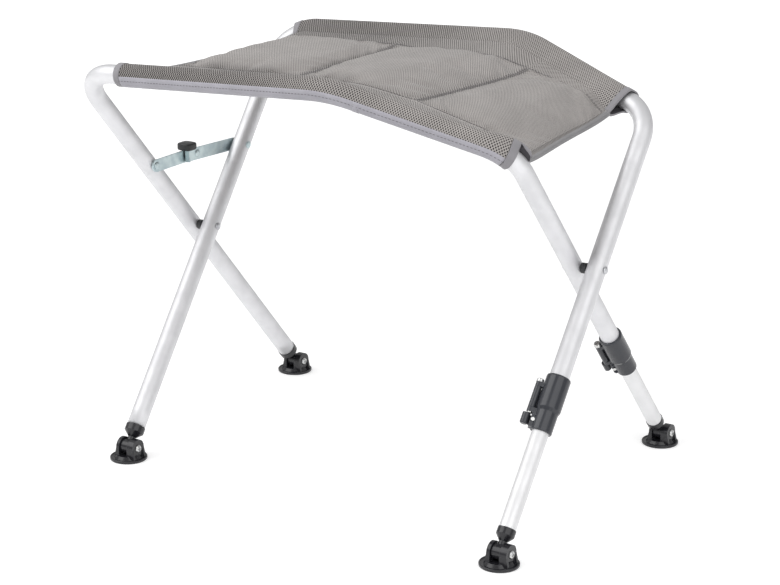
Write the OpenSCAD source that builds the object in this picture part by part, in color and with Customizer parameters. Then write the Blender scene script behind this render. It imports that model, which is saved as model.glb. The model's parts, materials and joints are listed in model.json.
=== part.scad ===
// Folding camping footstool. Two bent tube frames cross like scissors, a fabric seat hangs between
// their top bars, and the two legs on the +X side telescope.
// +X points to the telescopic side, -Y to the front, +Z up. The origin is on the floor, under the
// middle of the whole part. Each tube frame is drawn flat in XY and then stood up.

/* [Stance] */
// Distance between the two legs of one frame, at the pivots
leg_spacing = 535; // [440:1:620]
// Gap between the crossing legs
leg_gap = 6.7; // [6.4:0.1:10]
// Angle of each frame from the upright, opened
half_open = 39.7; // [34:0.1:43]
// How far each leg leans outwards, from foot to top
splay = 0.97; // [0:0.01:2]
// Height of the pivot axis over the floor, at the middle
pivot_height = 255; // [240:1:285]
// How far the pivot axis rises towards the telescopic side, in degrees
axis_tilt = 3.28; // [0:0.01:4]

/* [Tube frames] */
// Outer diameter of the frame tube
tube_d = 22; // [20:0.5:24]
// Wall of the frame tube
tube_wall = 1.4; // [1:0.1:1.6]
// Height of the level stretch of the top bar over the pivots, along the leg
bar_reach = 282; // [260:1:300]
// Where the top bar starts to fall, from the middle of its frame
bar_bend_x = 79.5; // [40:0.5:120]
// How steeply the top bar falls towards the telescopic side
bar_fall = 24.2; // [10:0.1:28]
// Radius of the shallow bend in the top bar, on the tube's centre line
bend_r = 130; // [90:5:180]
// Radius of the corners, on the tube's centre line
corner_r = 50; // [40:1:60]

/* [Pivots] */
// Diameter of the rivets that the frames turn on
pivot_d = 5; // [4:0.5:8]
// Diameter of the rivet heads
pivot_head_d = 8.5; // [7:0.5:12]
// Thickness of the rivet heads
pivot_head_t = 1.8; // [1.2:0.1:3]
// Diameter of the spacer between the legs
spacer_d = 12; // [10:0.5:16]

/* [Telescopic legs] */
// Wall of the inner tube
inner_wall = 1.3; // [1:0.1:2]
// Distance from the pivot to the top of the inner tube, as it stands
inner_top = 112; // [108:1:116]
// Length of the guide bush in the top of the inner tube
bush_len = 14; // [8:1:20]
// Wall of the guide bush
bush_wall = 2; // [1.5:0.1:3]
// Thickness of the bush's rim over the inner tube
bush_rim = 3; // [2:0.5:4]
// Distance from the pivot to the top of the clamp
clamp_top = 131; // [124:1:138]
// Length of the wide part of the clamp, round the frame tube
clamp_wide_len = 38; // [36:1:44]
// Length of the narrow part of the clamp, round the inner tube
clamp_narrow_len = 27; // [24:1:32]
// Wall of the clamp
clamp_wall = 2.6; // [2:0.1:2.7]
// Length of frame tube inside the clamp
clamp_grip_len = 34; // [28:1:35]
// Width of the slit in the clamp
slit_w = 2.4; // [1.5:0.1:3]
// Thickness of the two lugs beside the slit
lug_t = 3.4; // [2.5:0.1:4]
// Diameter of the cross bolt in the lugs
bolt_d = 3; // [2.5:0.5:4]

/* [Clamp lever] */
// Side of the leg that the lever is on, counted from -X towards the front
lever_turn = 27; // [10:1:50]
// Distance from the leg's axis to the lever's pin
lever_reach = 18; // [18:0.5:20]
// Outer diameter of the lever's barrel
lever_barrel_d = 8; // [7:0.5:8]
// Diameter of the lever's pin
lever_pin_d = 3.6; // [3:0.1:4]
// Length of the barrel between its two carriers
lever_len = 24; // [20:1:26]
// Thickness of the two carriers
carrier_t = 5; // [4:0.5:6]
// Distance from the top of the clamp to the barrel
barrel_drop = 17; // [14:1:18]
// Thickness of the lever's curved plate
lever_plate_t = 2.6; // [2:0.1:3]
// Angle that the curved plate reaches round the clamp
lever_wrap = 62; // [45:1:70]
// Length of the finger pad below the lower carrier
pad_len = 12.5; // [10:0.5:13]
// Diameter of the finger pad
pad_d = 8.8; // [7:0.1:9]
// Place of the finger pad: out from the leg's axis, and sideways
pad_at = [20.8, -2]; // [-4:0.1:24]

/* [Feet] */
// Diameter of the foot plate
foot_d = 44; // [40:1:50]
// Thickness of the foot plate at its rim
foot_rim_t = 3.6; // [3:0.1:4]
// Height of the foot's pin over the floor
pin_height = 15; // [14.5:0.5:18]
// Diameter of the foot screw
screw_d = 5; // [4:0.5:6]
// Diameter of the screw's head
screw_head_d = 9; // [8:0.5:10]
// Thickness of the screw's head
screw_head_t = 2.2; // [1.5:0.1:3]
// Thickness of the eye that the foot turns on
eye_t = 11; // [9:0.5:12]
// Diameter of the eye
eye_d = 17; // [15:0.5:17.5]
// Thickness of the foot's left ear
ear_t = 4; // [3:0.1:6]
// Thickness of the foot's right ear, under the screw's head
ear_wide_t = 8.6; // [4:0.1:9]
// Radius of the ears round the pin
ear_r = 10.8; // [9.5:0.1:11.5]

/* [Leg caps] */
// Distance from the foot's pin to the end of the leg tube
cap_len = 26; // [25:0.5:30]
// How much wider than its tube the cap is
cap_lip = 1.4; // [0.6:0.2:2]
// Length of the cap's straight collar
cap_collar = 7.5; // [6:0.5:8]
// Diameter of the neck above the eye
neck_d = 9; // [7:0.5:9.5]
// Length of the plug inside the tube
plug_len = 16; // [10:1:24]

/* [Brace] */
// Distance from the pivots to the brace's rivets, along the legs
brace_reach = 113.5; // [108:0.5:118]
// How far the brace's middle rivet stands over the straight line, opened
brace_rise = 1.6; // [0:0.1:3]
// Width of the brace's flat bars
brace_w = 15; // [12:0.5:16]
// Thickness of the flat bars
brace_t = 2; // [1.5:0.1:2.1]
// Diameter of the brace's rivets
brace_rivet_d = 5; // [4:0.5:6]
// Diameter of their heads
brace_head_d = 9; // [7.5:0.5:10]
// Thickness of their heads
brace_head_t = 1.2; // [0.8:0.1:1.3]
// How far the rear bar reaches past the middle rivet
brace_tail = 21; // [17:0.5:23]
// How far the end of the rear bar is bent out
lip_reach = 4; // [2:0.5:5]
// Width of the thumb grip, across the bars
grip_w = 15; // [12:0.5:16]
// Length of the thumb grip, along the bars
grip_l = 14; // [10:0.5:16]
// Height of the thumb grip
grip_h = 8.5; // [6:0.5:9]

/* [Seat] */
// Wall of the fabric sleeves round the top bars
sleeve_wall = 1.7; // [1.2:0.1:2.6]
// Left end of the front sleeve, from the middle of its frame
front_sleeve_start = -214; // [-219:1:-200]
// How far the rear sleeve follows the left corner, in degrees
rear_sleeve_lead = 35; // [5:1:45]
// How far the front sleeve follows the right corner, in degrees
front_sleeve_wrap = 34; // [2:1:50]
// How far the rear sleeve follows the right corner, in degrees
rear_sleeve_wrap = 9; // [2:1:30]
// How far the sleeve's sewn tail reaches in from the bar
tail_reach = 26; // [20:1:30]
// Thickness of the sewn tail and of the seat's flat bands
band_t = 3; // [2:0.1:4]
// How far the seat hangs below the bars at its left edge
sag_left = 8; // [2:1:16]
// How far the seat hangs below the bars at its right edge
sag_right = 14; // [6:1:22]
// How far the pads rise over their sewn channels
crown = 7; // [2:0.5:12]
// Thickness of the pads at their fullest
pad_t = 12; // [6:0.5:18]
// How far the side edges of the seat are drawn in at the middle
side_draw = 6; // [0:0.5:14]
// Width of the flat band in front of the pads
front_band = 62; // [35:1:80]
// Width of the flat band behind the pads
rear_band = 6; // [2:1:30]
// Places of the two sewn channels on the front bar, from the middle of its frame
front_channels = [-17, 132]; // [-200:1:220]
// Places of the two sewn channels on the rear bar, from the middle of its frame
rear_channels = [-83, 114]; // [-220:1:220]

/* [Clearances] */
// Gap between the telescoping tubes
slide_gap = 0.1; // [0.05:0.01:0.1]
// Gap round every pin and rivet
pin_gap = 0.05; // [0.02:0.01:0.08]
// Gap between pieces that turn past each other
turn_gap = 0.4; // [0.3:0.05:0.45]
// Gap between fabric and what it lies on
fabric_gap = 0.3; // [0.2:0.05:0.5]

/* [Hidden] */
$fn = 48;
// Frame A has its bar at the front and its legs at the back, and frame B the other way round.
A = -1;
B = 1;
// Left is -X, and right is the telescopic side.
LEFT = -1;
RIGHT = 1;
tube_r = tube_d / 2;
bore_r = tube_r - tube_wall;
inner_r = bore_r - slide_gap;
frame_offset = tube_d + leg_gap;
half_leg = leg_spacing / 2;
// How far cutting tools run past a face.
over = 1;

// Where a frame's middle is on the pivot axis.
function frame_x(f) = f * frame_offset / 2;
// Distance along a leg from its pivot to its foot's pin, so that every pin stands at pin_height.
function leg_reach(f, side) =
  (pivot_height - pin_height + (side * half_leg + frame_x(f)) * sin(axis_tilt))
  / (cos(splay) * cos(half_open) * cos(axis_tilt) + side * sin(splay) * sin(axis_tilt));
// A point on a leg in the frame's flat drawing, at distance d above the pivot.
function leg_point(side, d) = [side * (half_leg + d * sin(splay)), d * cos(splay)];
// A point of the flat drawing once the frame leans, round a level pivot axis.
function leaned(f, p) = [p[0] + frame_x(f), f * p[1] * sin(half_open), p[1] * cos(half_open)];
// The same once the pivot axis is tilted, over the floor.
function tilted(p) = [
  p[0] * cos(axis_tilt) - p[2] * sin(axis_tilt), p[1],
  p[0] * sin(axis_tilt) + p[2] * cos(axis_tilt) + pivot_height];
function pin_point(f, side) = tilted(leaned(f, leg_point(side, -leg_reach(f, side))));

// The top bar in the flat drawing: where its straight lines would meet.
slope = tan(bar_fall);
left_corner = [-half_leg - bar_reach * tan(splay), bar_reach];
bend_point = [bar_bend_x, bar_reach];
right_corner_x = (half_leg + tan(splay) * (bar_reach + slope * bar_bend_x)) / (1 + tan(splay) * slope);
right_corner = [right_corner_x, bar_reach - slope * (right_corner_x - bar_bend_x)];

// Reach of the whole part to each side, so that the origin is under its middle.
left_bend_centre = left_corner + corner_r * [1, -1];
left_pull = norm([cos(axis_tilt), cos(half_open) * sin(axis_tilt)]);
low_x = (left_bend_centre[0] + frame_x(A)) * cos(axis_tilt)
  - left_bend_centre[1] * cos(half_open) * sin(axis_tilt) - corner_r * left_pull - tube_r;
high_x = pin_point(B, RIGHT)[0] + foot_d / 2;
low_y = pin_point(B, RIGHT)[1] - foot_d / 2;
high_y = pin_point(A, RIGHT)[1] + foot_d / 2;
shift = [-(low_x + high_x) / 2, -(low_y + high_y) / 2, 0];

// Places children that are drawn round a level pivot axis.
module stand() {
  translate(shift + [0, 0, pivot_height]) rotate([0, -axis_tilt, 0]) children();
}

// Places children that are drawn in one frame's flat drawing.
module frame_plane(f) {
  stand() rotate([90 - f * half_open, 0, 0]) translate([frame_x(f), 0, 0]) children();
}

// Places children that are drawn round a leg: +Z up the leg, +Y to the back, 0 at the pivot.
module on_leg(f, side) {
  stand() rotate([-f * half_open, 0, 0]) translate([frame_x(f) + side * half_leg, 0, 0])
    rotate([0, side * splay, 0]) children();
}

// Places children that are drawn round the pin of a foot, upright over the floor.
module on_pin(f, side) {
  translate(shift + pin_point(f, side)) children();
}

// A round bar along X, from x0 to x1.
module along_x(x0, x1, r) {
  translate([x0, 0, 0]) rotate([0, 90, 0]) cylinder(r = r, h = x1 - x0);
}

// A domed head that stands out from the plane x, to +X or to -X.
module rivet_head(x, way, d, t) {
  translate([x, 0, 0]) rotate([0, way * 90, 0]) rotate_extrude()
    polygon([[0, 0], [d / 2, 0], [d / 2, t * 0.35], [d * 0.42, t * 0.75], [d * 0.25, t], [0, t]]);
}

// A tube's wall. Bends are drawn thinner by a hair, so that the straight stretches run over them.
module ring(r, wall, thinned = 0) {
  difference() {
    circle(r - thinned);
    circle(r - wall + thinned);
  }
}
hair = 0.15;
lap = 0.4;
// The same for the fabric sleeves.
tuck = 0.3;

// A bent bar is a profile carried along straight lines and right-hand bends.
function heading(pts, i) = atan2(pts[i + 1][1] - pts[i][1], pts[i + 1][0] - pts[i][0]);
function turn(pts, i) = heading(pts, i - 1) - heading(pts, i);
function trim(pts, radii, i) =
  (i == 0 || i == len(pts) - 1) ? 0 : radii[i] * tan(turn(pts, i) / 2);
function along(pts, i, d) = pts[i] + d * [cos(heading(pts, i)), sin(heading(pts, i))];

// The straight stretch after point i, from its own start or from a place further on. It laps a
// little over the bends at its ends.
module straight_run(pts, radii, i, from = 0) {
  start = max(from, trim(pts, radii, i) - (i > 0 ? lap : 0));
  length = norm(pts[i + 1] - pts[i]) - start - trim(pts, radii, i + 1) + (i < len(pts) - 2 ? lap : 0);
  translate(along(pts, i, start)) rotate([0, 0, heading(pts, i)]) rotate([90, 0, 90])
    linear_extrude(length) children();
}

// A stretch of the bend at point i, from one angle of it to another.
module bend_run(pts, radii, i, first, last) {
  h = heading(pts, i - 1);
  start = along(pts, i - 1, norm(pts[i] - pts[i - 1]) - trim(pts, radii, i));
  translate(start + radii[i] * [sin(h), -cos(h)]) rotate([0, 0, h + 90 - last])
    rotate_extrude(angle = last - first) translate([radii[i], 0]) children();
}

// Frames of bent tube

// How far below the pivot a leg's frame tube ends.
function tube_end(f, side) =
  side == RIGHT ? clamp_top + clamp_grip_len : leg_reach(f, LEFT) - cap_len;
function tube_path(f) = [
  leg_point(LEFT, -tube_end(f, LEFT)), left_corner, bend_point, right_corner,
  leg_point(RIGHT, -tube_end(f, RIGHT))];
radii = [0, corner_r, bend_r, corner_r, 0];

module frame_tube(f) {
  path = tube_path(f);
  color("gainsboro") difference() {
    frame_plane(f) {
      for (i = [0 : 3]) straight_run(path, radii, i) ring(tube_r, tube_wall);
      for (i = [1 : 3]) bend_run(path, radii, i, 0, turn(path, i)) ring(tube_r, tube_wall, hair);
    }
    stand() for (side = [LEFT, RIGHT])
      along_x(side * half_leg - frame_offset, side * half_leg + frame_offset, pivot_d / 2 + pin_gap);
    stand() translate(brace_anchor(f)) along_x(-tube_d, tube_d, brace_rivet_d / 2 + pin_gap);
  }
}

// Pivots

module pivot_rivet(side) {
  clear = tube_r + pin_gap + pivot_head_d / 2 * sin(splay);
  low = side * half_leg - frame_offset / 2 - clear;
  high = side * half_leg + frame_offset / 2 + clear;
  color("silver") stand() union() {
    along_x(low - tuck, high + tuck, pivot_d / 2);
    rivet_head(low, -1, pivot_head_d, pivot_head_t);
    rivet_head(high, 1, pivot_head_d, pivot_head_t);
  }
}

module pivot_spacer(side) {
  middle = side * half_leg;
  half = leg_gap / 2 - pin_gap - spacer_d / 2 * sin(splay);
  color("dimgray") stand() difference() {
    along_x(middle - half, middle + half, spacer_d / 2);
    along_x(middle - leg_gap, middle + leg_gap, pivot_d / 2 + pin_gap);
  }
}

// Telescopic legs

module inner_leg(f) {
  low = cap_len - leg_reach(f, RIGHT);
  color("whitesmoke") on_leg(f, RIGHT) translate([0, 0, low])
    linear_extrude(-inner_top - low) ring(inner_r, inner_wall);
}

module guide_bush(f) {
  plug_r = inner_r - inner_wall - pin_gap;
  color("dimgray") on_leg(f, RIGHT) translate([0, 0, -inner_top]) rotate_extrude() polygon([
    [plug_r - bush_wall, -bush_len], [plug_r, -bush_len], [plug_r, 0], [inner_r, 0],
    [inner_r, bush_rim - 1], [inner_r - 1, bush_rim], [plug_r - bush_wall, bush_rim]]);
}

// Leg clamps. Depths are distances below the pivot, along the leg.
clamp_bottom = clamp_top + clamp_wide_len + clamp_narrow_len;
wide_r = tube_r + clamp_wall;
narrow_r = inner_r + clamp_wall;
barrel_top = clamp_top + barrel_drop;
barrel_bottom = barrel_top + lever_len;
upper_carrier = barrel_top - turn_gap;
lower_carrier = barrel_bottom + turn_gap + carrier_t;
snap_t = 1.2;
pad_top = lower_carrier + pin_gap + snap_t + turn_gap;
lug_low = clamp_bottom - 2;
bolt_x = bore_r + bolt_d / 2 + 1;
bolt_depth = (lug_low + lower_carrier) / 2;
lug_reach = bolt_x + bolt_d * 0.9;
lug_half = slit_w / 2 + lug_t;
bolt_head_r = bolt_d * 0.7;

// Turns children so that +X points from the leg's axis to the lever's pin.
module lever_side() {
  rotate([0, 0, 180 + lever_turn]) children();
}

// The clamp's outside: wide round the frame tube, narrow round the inner tube.
module clamp_outside() {
  taper = 4;
  edge = 1.8;
  step = -clamp_top - clamp_wide_len;
  rotate_extrude() polygon([
    [0, -clamp_bottom], [narrow_r - edge / 2, -clamp_bottom], [narrow_r, -clamp_bottom + edge / 2],
    [narrow_r, step - taper], [wide_r, step], [wide_r, -clamp_top - edge],
    [wide_r - edge * 0.3, -clamp_top - edge * 0.3], [wide_r - edge, -clamp_top], [0, -clamp_top]]);
}

// A round knuckle for the lever's pin, with a web that runs back into the clamp.
module carrier(depth) {
  translate([0, 0, -depth]) linear_extrude(carrier_t) {
    translate([lever_reach, 0]) circle(lever_barrel_d / 2);
    translate([0, -lever_barrel_d / 2]) square([lever_reach, lever_barrel_d]);
  }
}

// A round bar across the lugs, on the bolt's axis.
module across_lugs(low, high, r) {
  translate([bolt_x, 0, -bolt_depth]) rotate([90, 0, 0]) translate([0, 0, low])
    cylinder(r = r, h = high - low);
}

// The two lugs beside the slit, drawn as one block, with ribs on the side away from the lever.
module lugs() {
  height = lug_low - lower_carrier + over;
  rib_t = 1.4;
  translate([0, -lug_half, -lug_low]) cube([lug_reach, 2 * lug_half, height]);
  for (z = [0, height * 0.75]) translate([0, 0, z - lug_low])
    cube([lug_reach - rib_t, lug_half + rib_t, rib_t]);
}

module clamp_sleeve(f) {
  color("dimgray") on_leg(f, RIGHT) difference() {
    union() {
      clamp_outside();
      lever_side() {
        lugs();
        carrier(upper_carrier);
        carrier(lower_carrier);
      }
    }
    translate([0, 0, -clamp_top - clamp_grip_len - pin_gap])
      cylinder(r = tube_r + pin_gap, h = clamp_grip_len + over);
    translate([0, 0, -clamp_bottom - over]) cylinder(r = bore_r, h = clamp_bottom);
    lever_side() {
      translate([0, -slit_w / 2, -clamp_bottom - over])
        cube([lug_reach + over, slit_w, clamp_bottom - lower_carrier]);
      across_lugs(-tube_d, tube_d, bolt_d / 2 + pin_gap);
      across_lugs(-tube_d, -lug_half, bolt_head_r + 2 * pin_gap);
      across_lugs(lug_half, tube_d, bolt_head_r + 2 * pin_gap);
      translate([lever_reach, 0, -clamp_bottom])
        cylinder(r = lever_pin_d / 2 + pin_gap, h = clamp_bottom);
    }
  }
}

// The cross bolt that draws the lugs together, with its nut.
module clamp_bolt(f) {
  half = lug_half + pin_gap;
  head_t = 1.2;
  nut_t = 1.8;
  color("silver") on_leg(f, RIGHT) lever_side() {
    across_lugs(-half - over / 2, half + over / 2, bolt_d / 2);
    across_lugs(half, half + head_t, bolt_head_r);
    across_lugs(-half - nut_t, -half, bolt_head_r);
  }
}

// A stretch of the lever's curved plate, round the clamp; side is how much thicker it is each way.
module lever_plate(from, to, low, high, side = 0) {
  translate([0, 0, -low]) rotate([0, 0, -to]) rotate_extrude(angle = to - from)
    translate([wide_r + 2 * turn_gap - side, 0]) square([lever_plate_t + 2 * side, low - high]);
}

// The flip lever: a barrel on the pin, a plate that curves round the clamp, and a finger pad
// that hangs on the plate's lower part, clear of the lower carrier and of the lugs.
module clamp_lever(f) {
  plate_from = 5.5;
  tail_from = 26;
  pad_low = pad_top + pad_len;
  pad_r = pad_d / 2;
  edge = 1.2;
  plate_r = wide_r + 2 * turn_gap + lever_plate_t * 0.75;
  color("dimgray") on_leg(f, RIGHT) lever_side() difference() {
    union() {
      translate([lever_reach, 0, -barrel_bottom]) cylinder(r = lever_barrel_d / 2, h = lever_len);
      difference() {
        lever_plate(plate_from, lever_wrap, pad_low, barrel_top + tuck);
        lever_plate(-over, tail_from, pad_low + over, barrel_bottom - tuck, over);
      }
      translate([pad_at[0], pad_at[1], -pad_low]) rotate_extrude() polygon([
        [0, 0], [pad_r - edge, 0], [pad_r, edge], [pad_r, pad_len], [0, pad_len]]);
      translate([0, 0, -pad_low + edge + tuck]) linear_extrude(pad_len - edge - 2 * tuck) polygon([
        pad_at, pad_at + pad_r * [-0.95, -0.57], plate_r * [cos(tail_from), -sin(tail_from)],
        plate_r * [cos(tail_from + 11), -sin(tail_from + 11)], pad_at + pad_r * [-0.3, -0.8]]);
    }
    translate([lever_reach, 0, -barrel_bottom - over])
      cylinder(r = lever_pin_d / 2 + pin_gap, h = lever_len + 2 * over);
  }
}

// The lever's pin: a head and a washer over the upper carrier, a snap ring under the lower one.
module lever_pin(f) {
  top = upper_carrier - carrier_t - pin_gap;
  low = lower_carrier + pin_gap;
  washer_t = 1;
  head_t = 3;
  head_r = lever_barrel_d / 2;
  snap_r = lever_pin_d / 2 + 1.2;
  color("silver") on_leg(f, RIGHT) lever_side() translate([lever_reach, 0, 0]) rotate_extrude() polygon([
    [0, -low - snap_t], [snap_r, -low - snap_t], [snap_r, -low], [lever_pin_d / 2, -low],
    [lever_pin_d / 2, -top], [head_r * 1.06, -top], [head_r * 1.06, washer_t - top],
    [head_r, washer_t - top], [head_r, washer_t + head_t - 0.8 - top],
    [head_r - 0.8, washer_t + head_t - top], [0, washer_t + head_t - top]]);
}

// Leg caps and feet

module leg_cap(f, side) {
  outside = side == LEFT ? tube_r : inner_r;
  plug_r = outside - (side == LEFT ? tube_wall : inner_wall) - pin_gap;
  lip_r = outside + cap_lip / 2;
  seat = cap_len - pin_gap;
  color("dimgray") difference() {
    union() {
      on_leg(f, side) translate([0, 0, -leg_reach(f, side)]) rotate_extrude() polygon([
        [0, 0], [neck_d / 2, 0], [neck_d / 2, ear_r + 2 * turn_gap], [lip_r, seat - cap_collar],
        [lip_r, seat], [plug_r, seat], [plug_r, cap_len + plug_len - 1],
        [plug_r - 1, cap_len + plug_len], [0, cap_len + plug_len]]);
      on_pin(f, side) along_x(-eye_t / 2, eye_t / 2, eye_d / 2);
    }
    on_pin(f, side) along_x(-eye_t, eye_t, screw_d / 2 + pin_gap);
  }
}

// The foot plate: flat below, with a raised rim, a dished ring and a low hub.
module foot_plate() {
  r = foot_d / 2;
  hub_top = pin_height - eye_d / 2 - turn_gap;
  dish = foot_rim_t - 1;
  rotate_extrude() polygon([
    [0, 0], [r - 0.8, 0], [r, 0.8], [r, foot_rim_t - 0.6], [r - 0.6, foot_rim_t],
    [r - 1.6, foot_rim_t], [r - 2.2, dish], [r * 0.76, dish], [r * 0.66, hub_top], [0, hub_top]]);
}

module foot(f, side) {
  inside = eye_t / 2 + turn_gap;
  drop = pin_height - foot_rim_t + 1;
  color("dimgray") on_pin(f, side) difference() {
    union() {
      translate([0, 0, -pin_height]) foot_plate();
      ear(inside, ear_wide_t, drop);
      mirror([1, 0, 0]) ear(inside, ear_t, drop);
    }
    along_x(-foot_d, foot_d, screw_d / 2 + pin_gap);
    along_x(-inside, inside, eye_d / 2 + turn_gap);
  }
}

// An ear of the foot, round the screw and square down to the plate.
module ear(inside, thick, drop) {
  along_x(inside, inside + thick, ear_r);
  translate([inside, -ear_r, -drop]) cube([thick, 2 * ear_r, drop]);
  gusset(inside + thick, drop);
}

// A sloping web that stiffens an ear, from its outer face down to the plate.
module gusset(x, drop) {
  web_t = 3;
  web_w = 3;
  for (y = [-ear_r, ear_r - web_t]) translate([x, y + web_t, -drop]) rotate([90, 0, 0])
    linear_extrude(web_t) polygon([[-over, 0], [web_w, 0], [0, drop], [-over, drop]]);
}

module foot_screw(f, side) {
  low = -(eye_t / 2 + turn_gap + ear_t + pin_gap);
  outside = eye_t / 2 + turn_gap + ear_wide_t + pin_gap;
  recess = screw_head_d * 0.16;
  color("white") on_pin(f, side) difference() {
    union() {
      along_x(low, outside, screw_d / 2);
      rivet_head(outside, 1, screw_head_d, screw_head_t);
      rivet_head(low, -1, screw_head_d * 0.8, screw_head_t * 0.8);
    }
    for (turned = [0, 90]) translate([outside + screw_head_t, 0, 0]) rotate([turned, 0, 0])
      cube([screw_head_t * 1.2, recess, screw_head_d * 0.55], center = true);
  }
}

// The folding brace on the left side. Each bar lies in its own plane between the two legs.

// The rivet point on a left leg, in the middle of the leg's tube.
function brace_anchor(f) = leaned(f, leg_point(LEFT, brace_reach));
anchor_y = brace_anchor(B)[1];
anchor_z = brace_anchor(B)[2];
brace_len = norm([anchor_y, brace_rise]);
bar_a_x = brace_anchor(A)[0] + tube_r + turn_gap;
bar_b_x = brace_anchor(B)[0] - tube_r - turn_gap - brace_t;
bar_space = bar_b_x - bar_a_x - brace_t;

// Places a flat outline, drawn along +X from the rivet on a leg, in the plane of that leg's bar.
module bar_plane(f, x) {
  tip = atan2(brace_rise, anchor_y);
  stand() translate([x, f * anchor_y, anchor_z]) rotate([90, 0, 90])
    rotate([0, 0, f == A ? tip : 180 - tip]) children();
}

module bar_a_outline() {
  difference() {
    union() {
      circle(brace_w / 2);
      translate([0, -brace_w / 2]) square([brace_len, brace_w]);
      translate([brace_len, 0]) circle(brace_w / 2);
    }
    for (x = [0, brace_len]) translate([x, 0]) circle(brace_rivet_d / 2 + pin_gap);
  }
}

module bar_b_outline() {
  difference() {
    union() {
      circle(brace_w / 2);
      translate([0, -brace_w / 2]) square([brace_len + brace_tail, brace_w]);
    }
    for (x = [0, brace_len]) translate([x, 0]) circle(brace_rivet_d / 2 + pin_gap);
  }
}

module brace_bar_a() {
  color("lightsteelblue") bar_plane(A, bar_a_x) linear_extrude(brace_t) bar_a_outline();
}

// The rear bar runs on past the middle rivet and ends in a lip that is bent out.
module brace_bar_b() {
  color("lightsteelblue") bar_plane(B, bar_b_x) {
    linear_extrude(brace_t) bar_b_outline();
    translate([brace_len + brace_tail - brace_t, -brace_w / 2, 0])
      cube([brace_t, brace_w, brace_t + lip_reach]);
  }
}

// The rivet that holds a bar to its leg.
module brace_anchor_rivet(f) {
  leg_far = brace_anchor(f)[0] + f * (tube_r + pin_gap);
  bar_face = f == A ? bar_a_x + brace_t + pin_gap : bar_b_x - pin_gap;
  color("silver") stand() translate([0, f * anchor_y, anchor_z]) {
    along_x(min(leg_far, bar_face), max(leg_far, bar_face), brace_rivet_d / 2);
    rivet_head(leg_far, f, brace_head_d, brace_head_t);
    rivet_head(bar_face, -f, brace_head_d, brace_head_t);
  }
}

// The middle rivet, parted between the two bars: each half is carried by its own bar, and the
// half on the rear bar has a collar that fills the gap between them.
module brace_mid_rivet(f) {
  outer_face = f == A ? bar_a_x - pin_gap : bar_b_x + brace_t + pin_gap;
  inner_end = f == A ? bar_a_x + brace_t : bar_b_x - bar_space + turn_gap;
  color("silver") stand() translate([0, 0, anchor_z + brace_rise]) {
    along_x(min(outer_face, inner_end), max(outer_face, inner_end), brace_rivet_d / 2);
    rivet_head(outer_face, f, brace_head_d, brace_head_t);
    if (f == B) along_x(inner_end, bar_b_x - pin_gap, brace_head_d / 2);
  }
}

// The thumb grip on the rear bar's tail: a block with softened edges and a foot over the bar.
module brace_grip() {
  edge = 1.6;
  middle = brace_len + brace_tail - grip_l / 2 + 4;
  low = -brace_w / 2 - pin_gap;
  color("black") bar_plane(B, bar_b_x + brace_t / 2) translate([middle, low, 0]) rotate([90, 0, 0])
    hull() {
    translate([0, 0, grip_h * 0.55]) cube([grip_l, grip_w - 2 * edge, grip_h * 0.5], center = true);
    translate([0, 0, grip_h * 0.55]) cube([grip_l - 2 * edge, grip_w, grip_h * 0.5], center = true);
    translate([0, 0, grip_h * 0.5]) cube([grip_l - 2 * edge, grip_w - 2 * edge, grip_h], center = true);
  }
}

// Seat. The sleeves are drawn as a profile round the bar, with a tail where they are sewn together.

// The tail points level and inwards: its direction in the profile, where +X is out of the frame.
tail_angle = 90 + half_open;
sleeve_r = tube_r + fabric_gap + sleeve_wall;

// The profile of a sleeve: a round with a tail. Its up side is +Y in frame A and -Y in frame B.
module sleeve_profile(f, thinned = 0) {
  r = sleeve_r - thinned;
  tip = tail_reach - thinned;
  difference() {
    union() {
      circle(r);
      rotate(f * tail_angle) polygon([
        [0, 0], r * [cos(52), -f * sin(52)], [tip, f * (thinned - tail_up)],
        [tip, f * (band_t - tail_up - thinned)], r * [cos(50), f * sin(50)]]);
    }
    circle(tube_r + fabric_gap + thinned);
  }
}
// Height of the tail's upper face over the bar's middle.
tail_up = 1;

module sleeve(f) {
  path = tube_path(f);
  start = f == A ? front_sleeve_start - left_corner[0] : 0;
  corner = turn(path, 1);
  color("darkgray") frame_plane(f) {
    if (f == B) bend_run(path, radii, 1, corner - rear_sleeve_lead, corner) sleeve_profile(f, tuck);
    straight_run(path, radii, 1, start) sleeve_profile(f);
    bend_run(path, radii, 2, 0, turn(path, 2)) sleeve_profile(f, tuck);
    straight_run(path, radii, 2) sleeve_profile(f);
    bend_run(path, radii, 3, 0, f == A ? front_sleeve_wrap : rear_sleeve_wrap)
      sleeve_profile(f, tuck);
  }
}

// The padded seat panel between the two tails. u is a place along a bar, from the middle of its
// frame, and t goes from the front tail (0) to the rear tail (1).
left_end = left_corner[0] + corner_r * tan((90 + splay) / 2);
mid_start = bar_bend_x - bend_r * tan(bar_fall / 2);
mid_end = mid_start + bend_r * sin(bar_fall);
right_start = right_corner[0] - corner_r * tan((90 + splay - bar_fall) / 2) * cos(bar_fall);
right_start_height = bar_reach - slope * (right_start - bar_bend_x);
right_centre_x = right_start - corner_r * sin(bar_fall);

// How far the bar's direction has turned at u, and its height in the flat drawing.
function bar_turn(u) =
  u < left_end ? asin((u - left_end) / corner_r)
  : u < mid_start ? 0
  : u < mid_end ? asin((u - mid_start) / bend_r)
  : u < right_start ? bar_fall
  : asin((u - right_centre_x) / corner_r);
function bar_height(u) =
  u < left_end ? bar_reach - corner_r * (1 - cos(bar_turn(u)))
  : u < mid_end ? bar_reach - bend_r * (1 - cos(bar_turn(u)))
  : u < right_start ? bar_reach - slope * (u - bar_bend_x)
  : right_start_height - corner_r * (cos(bar_fall) - cos(bar_turn(u)));

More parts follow.
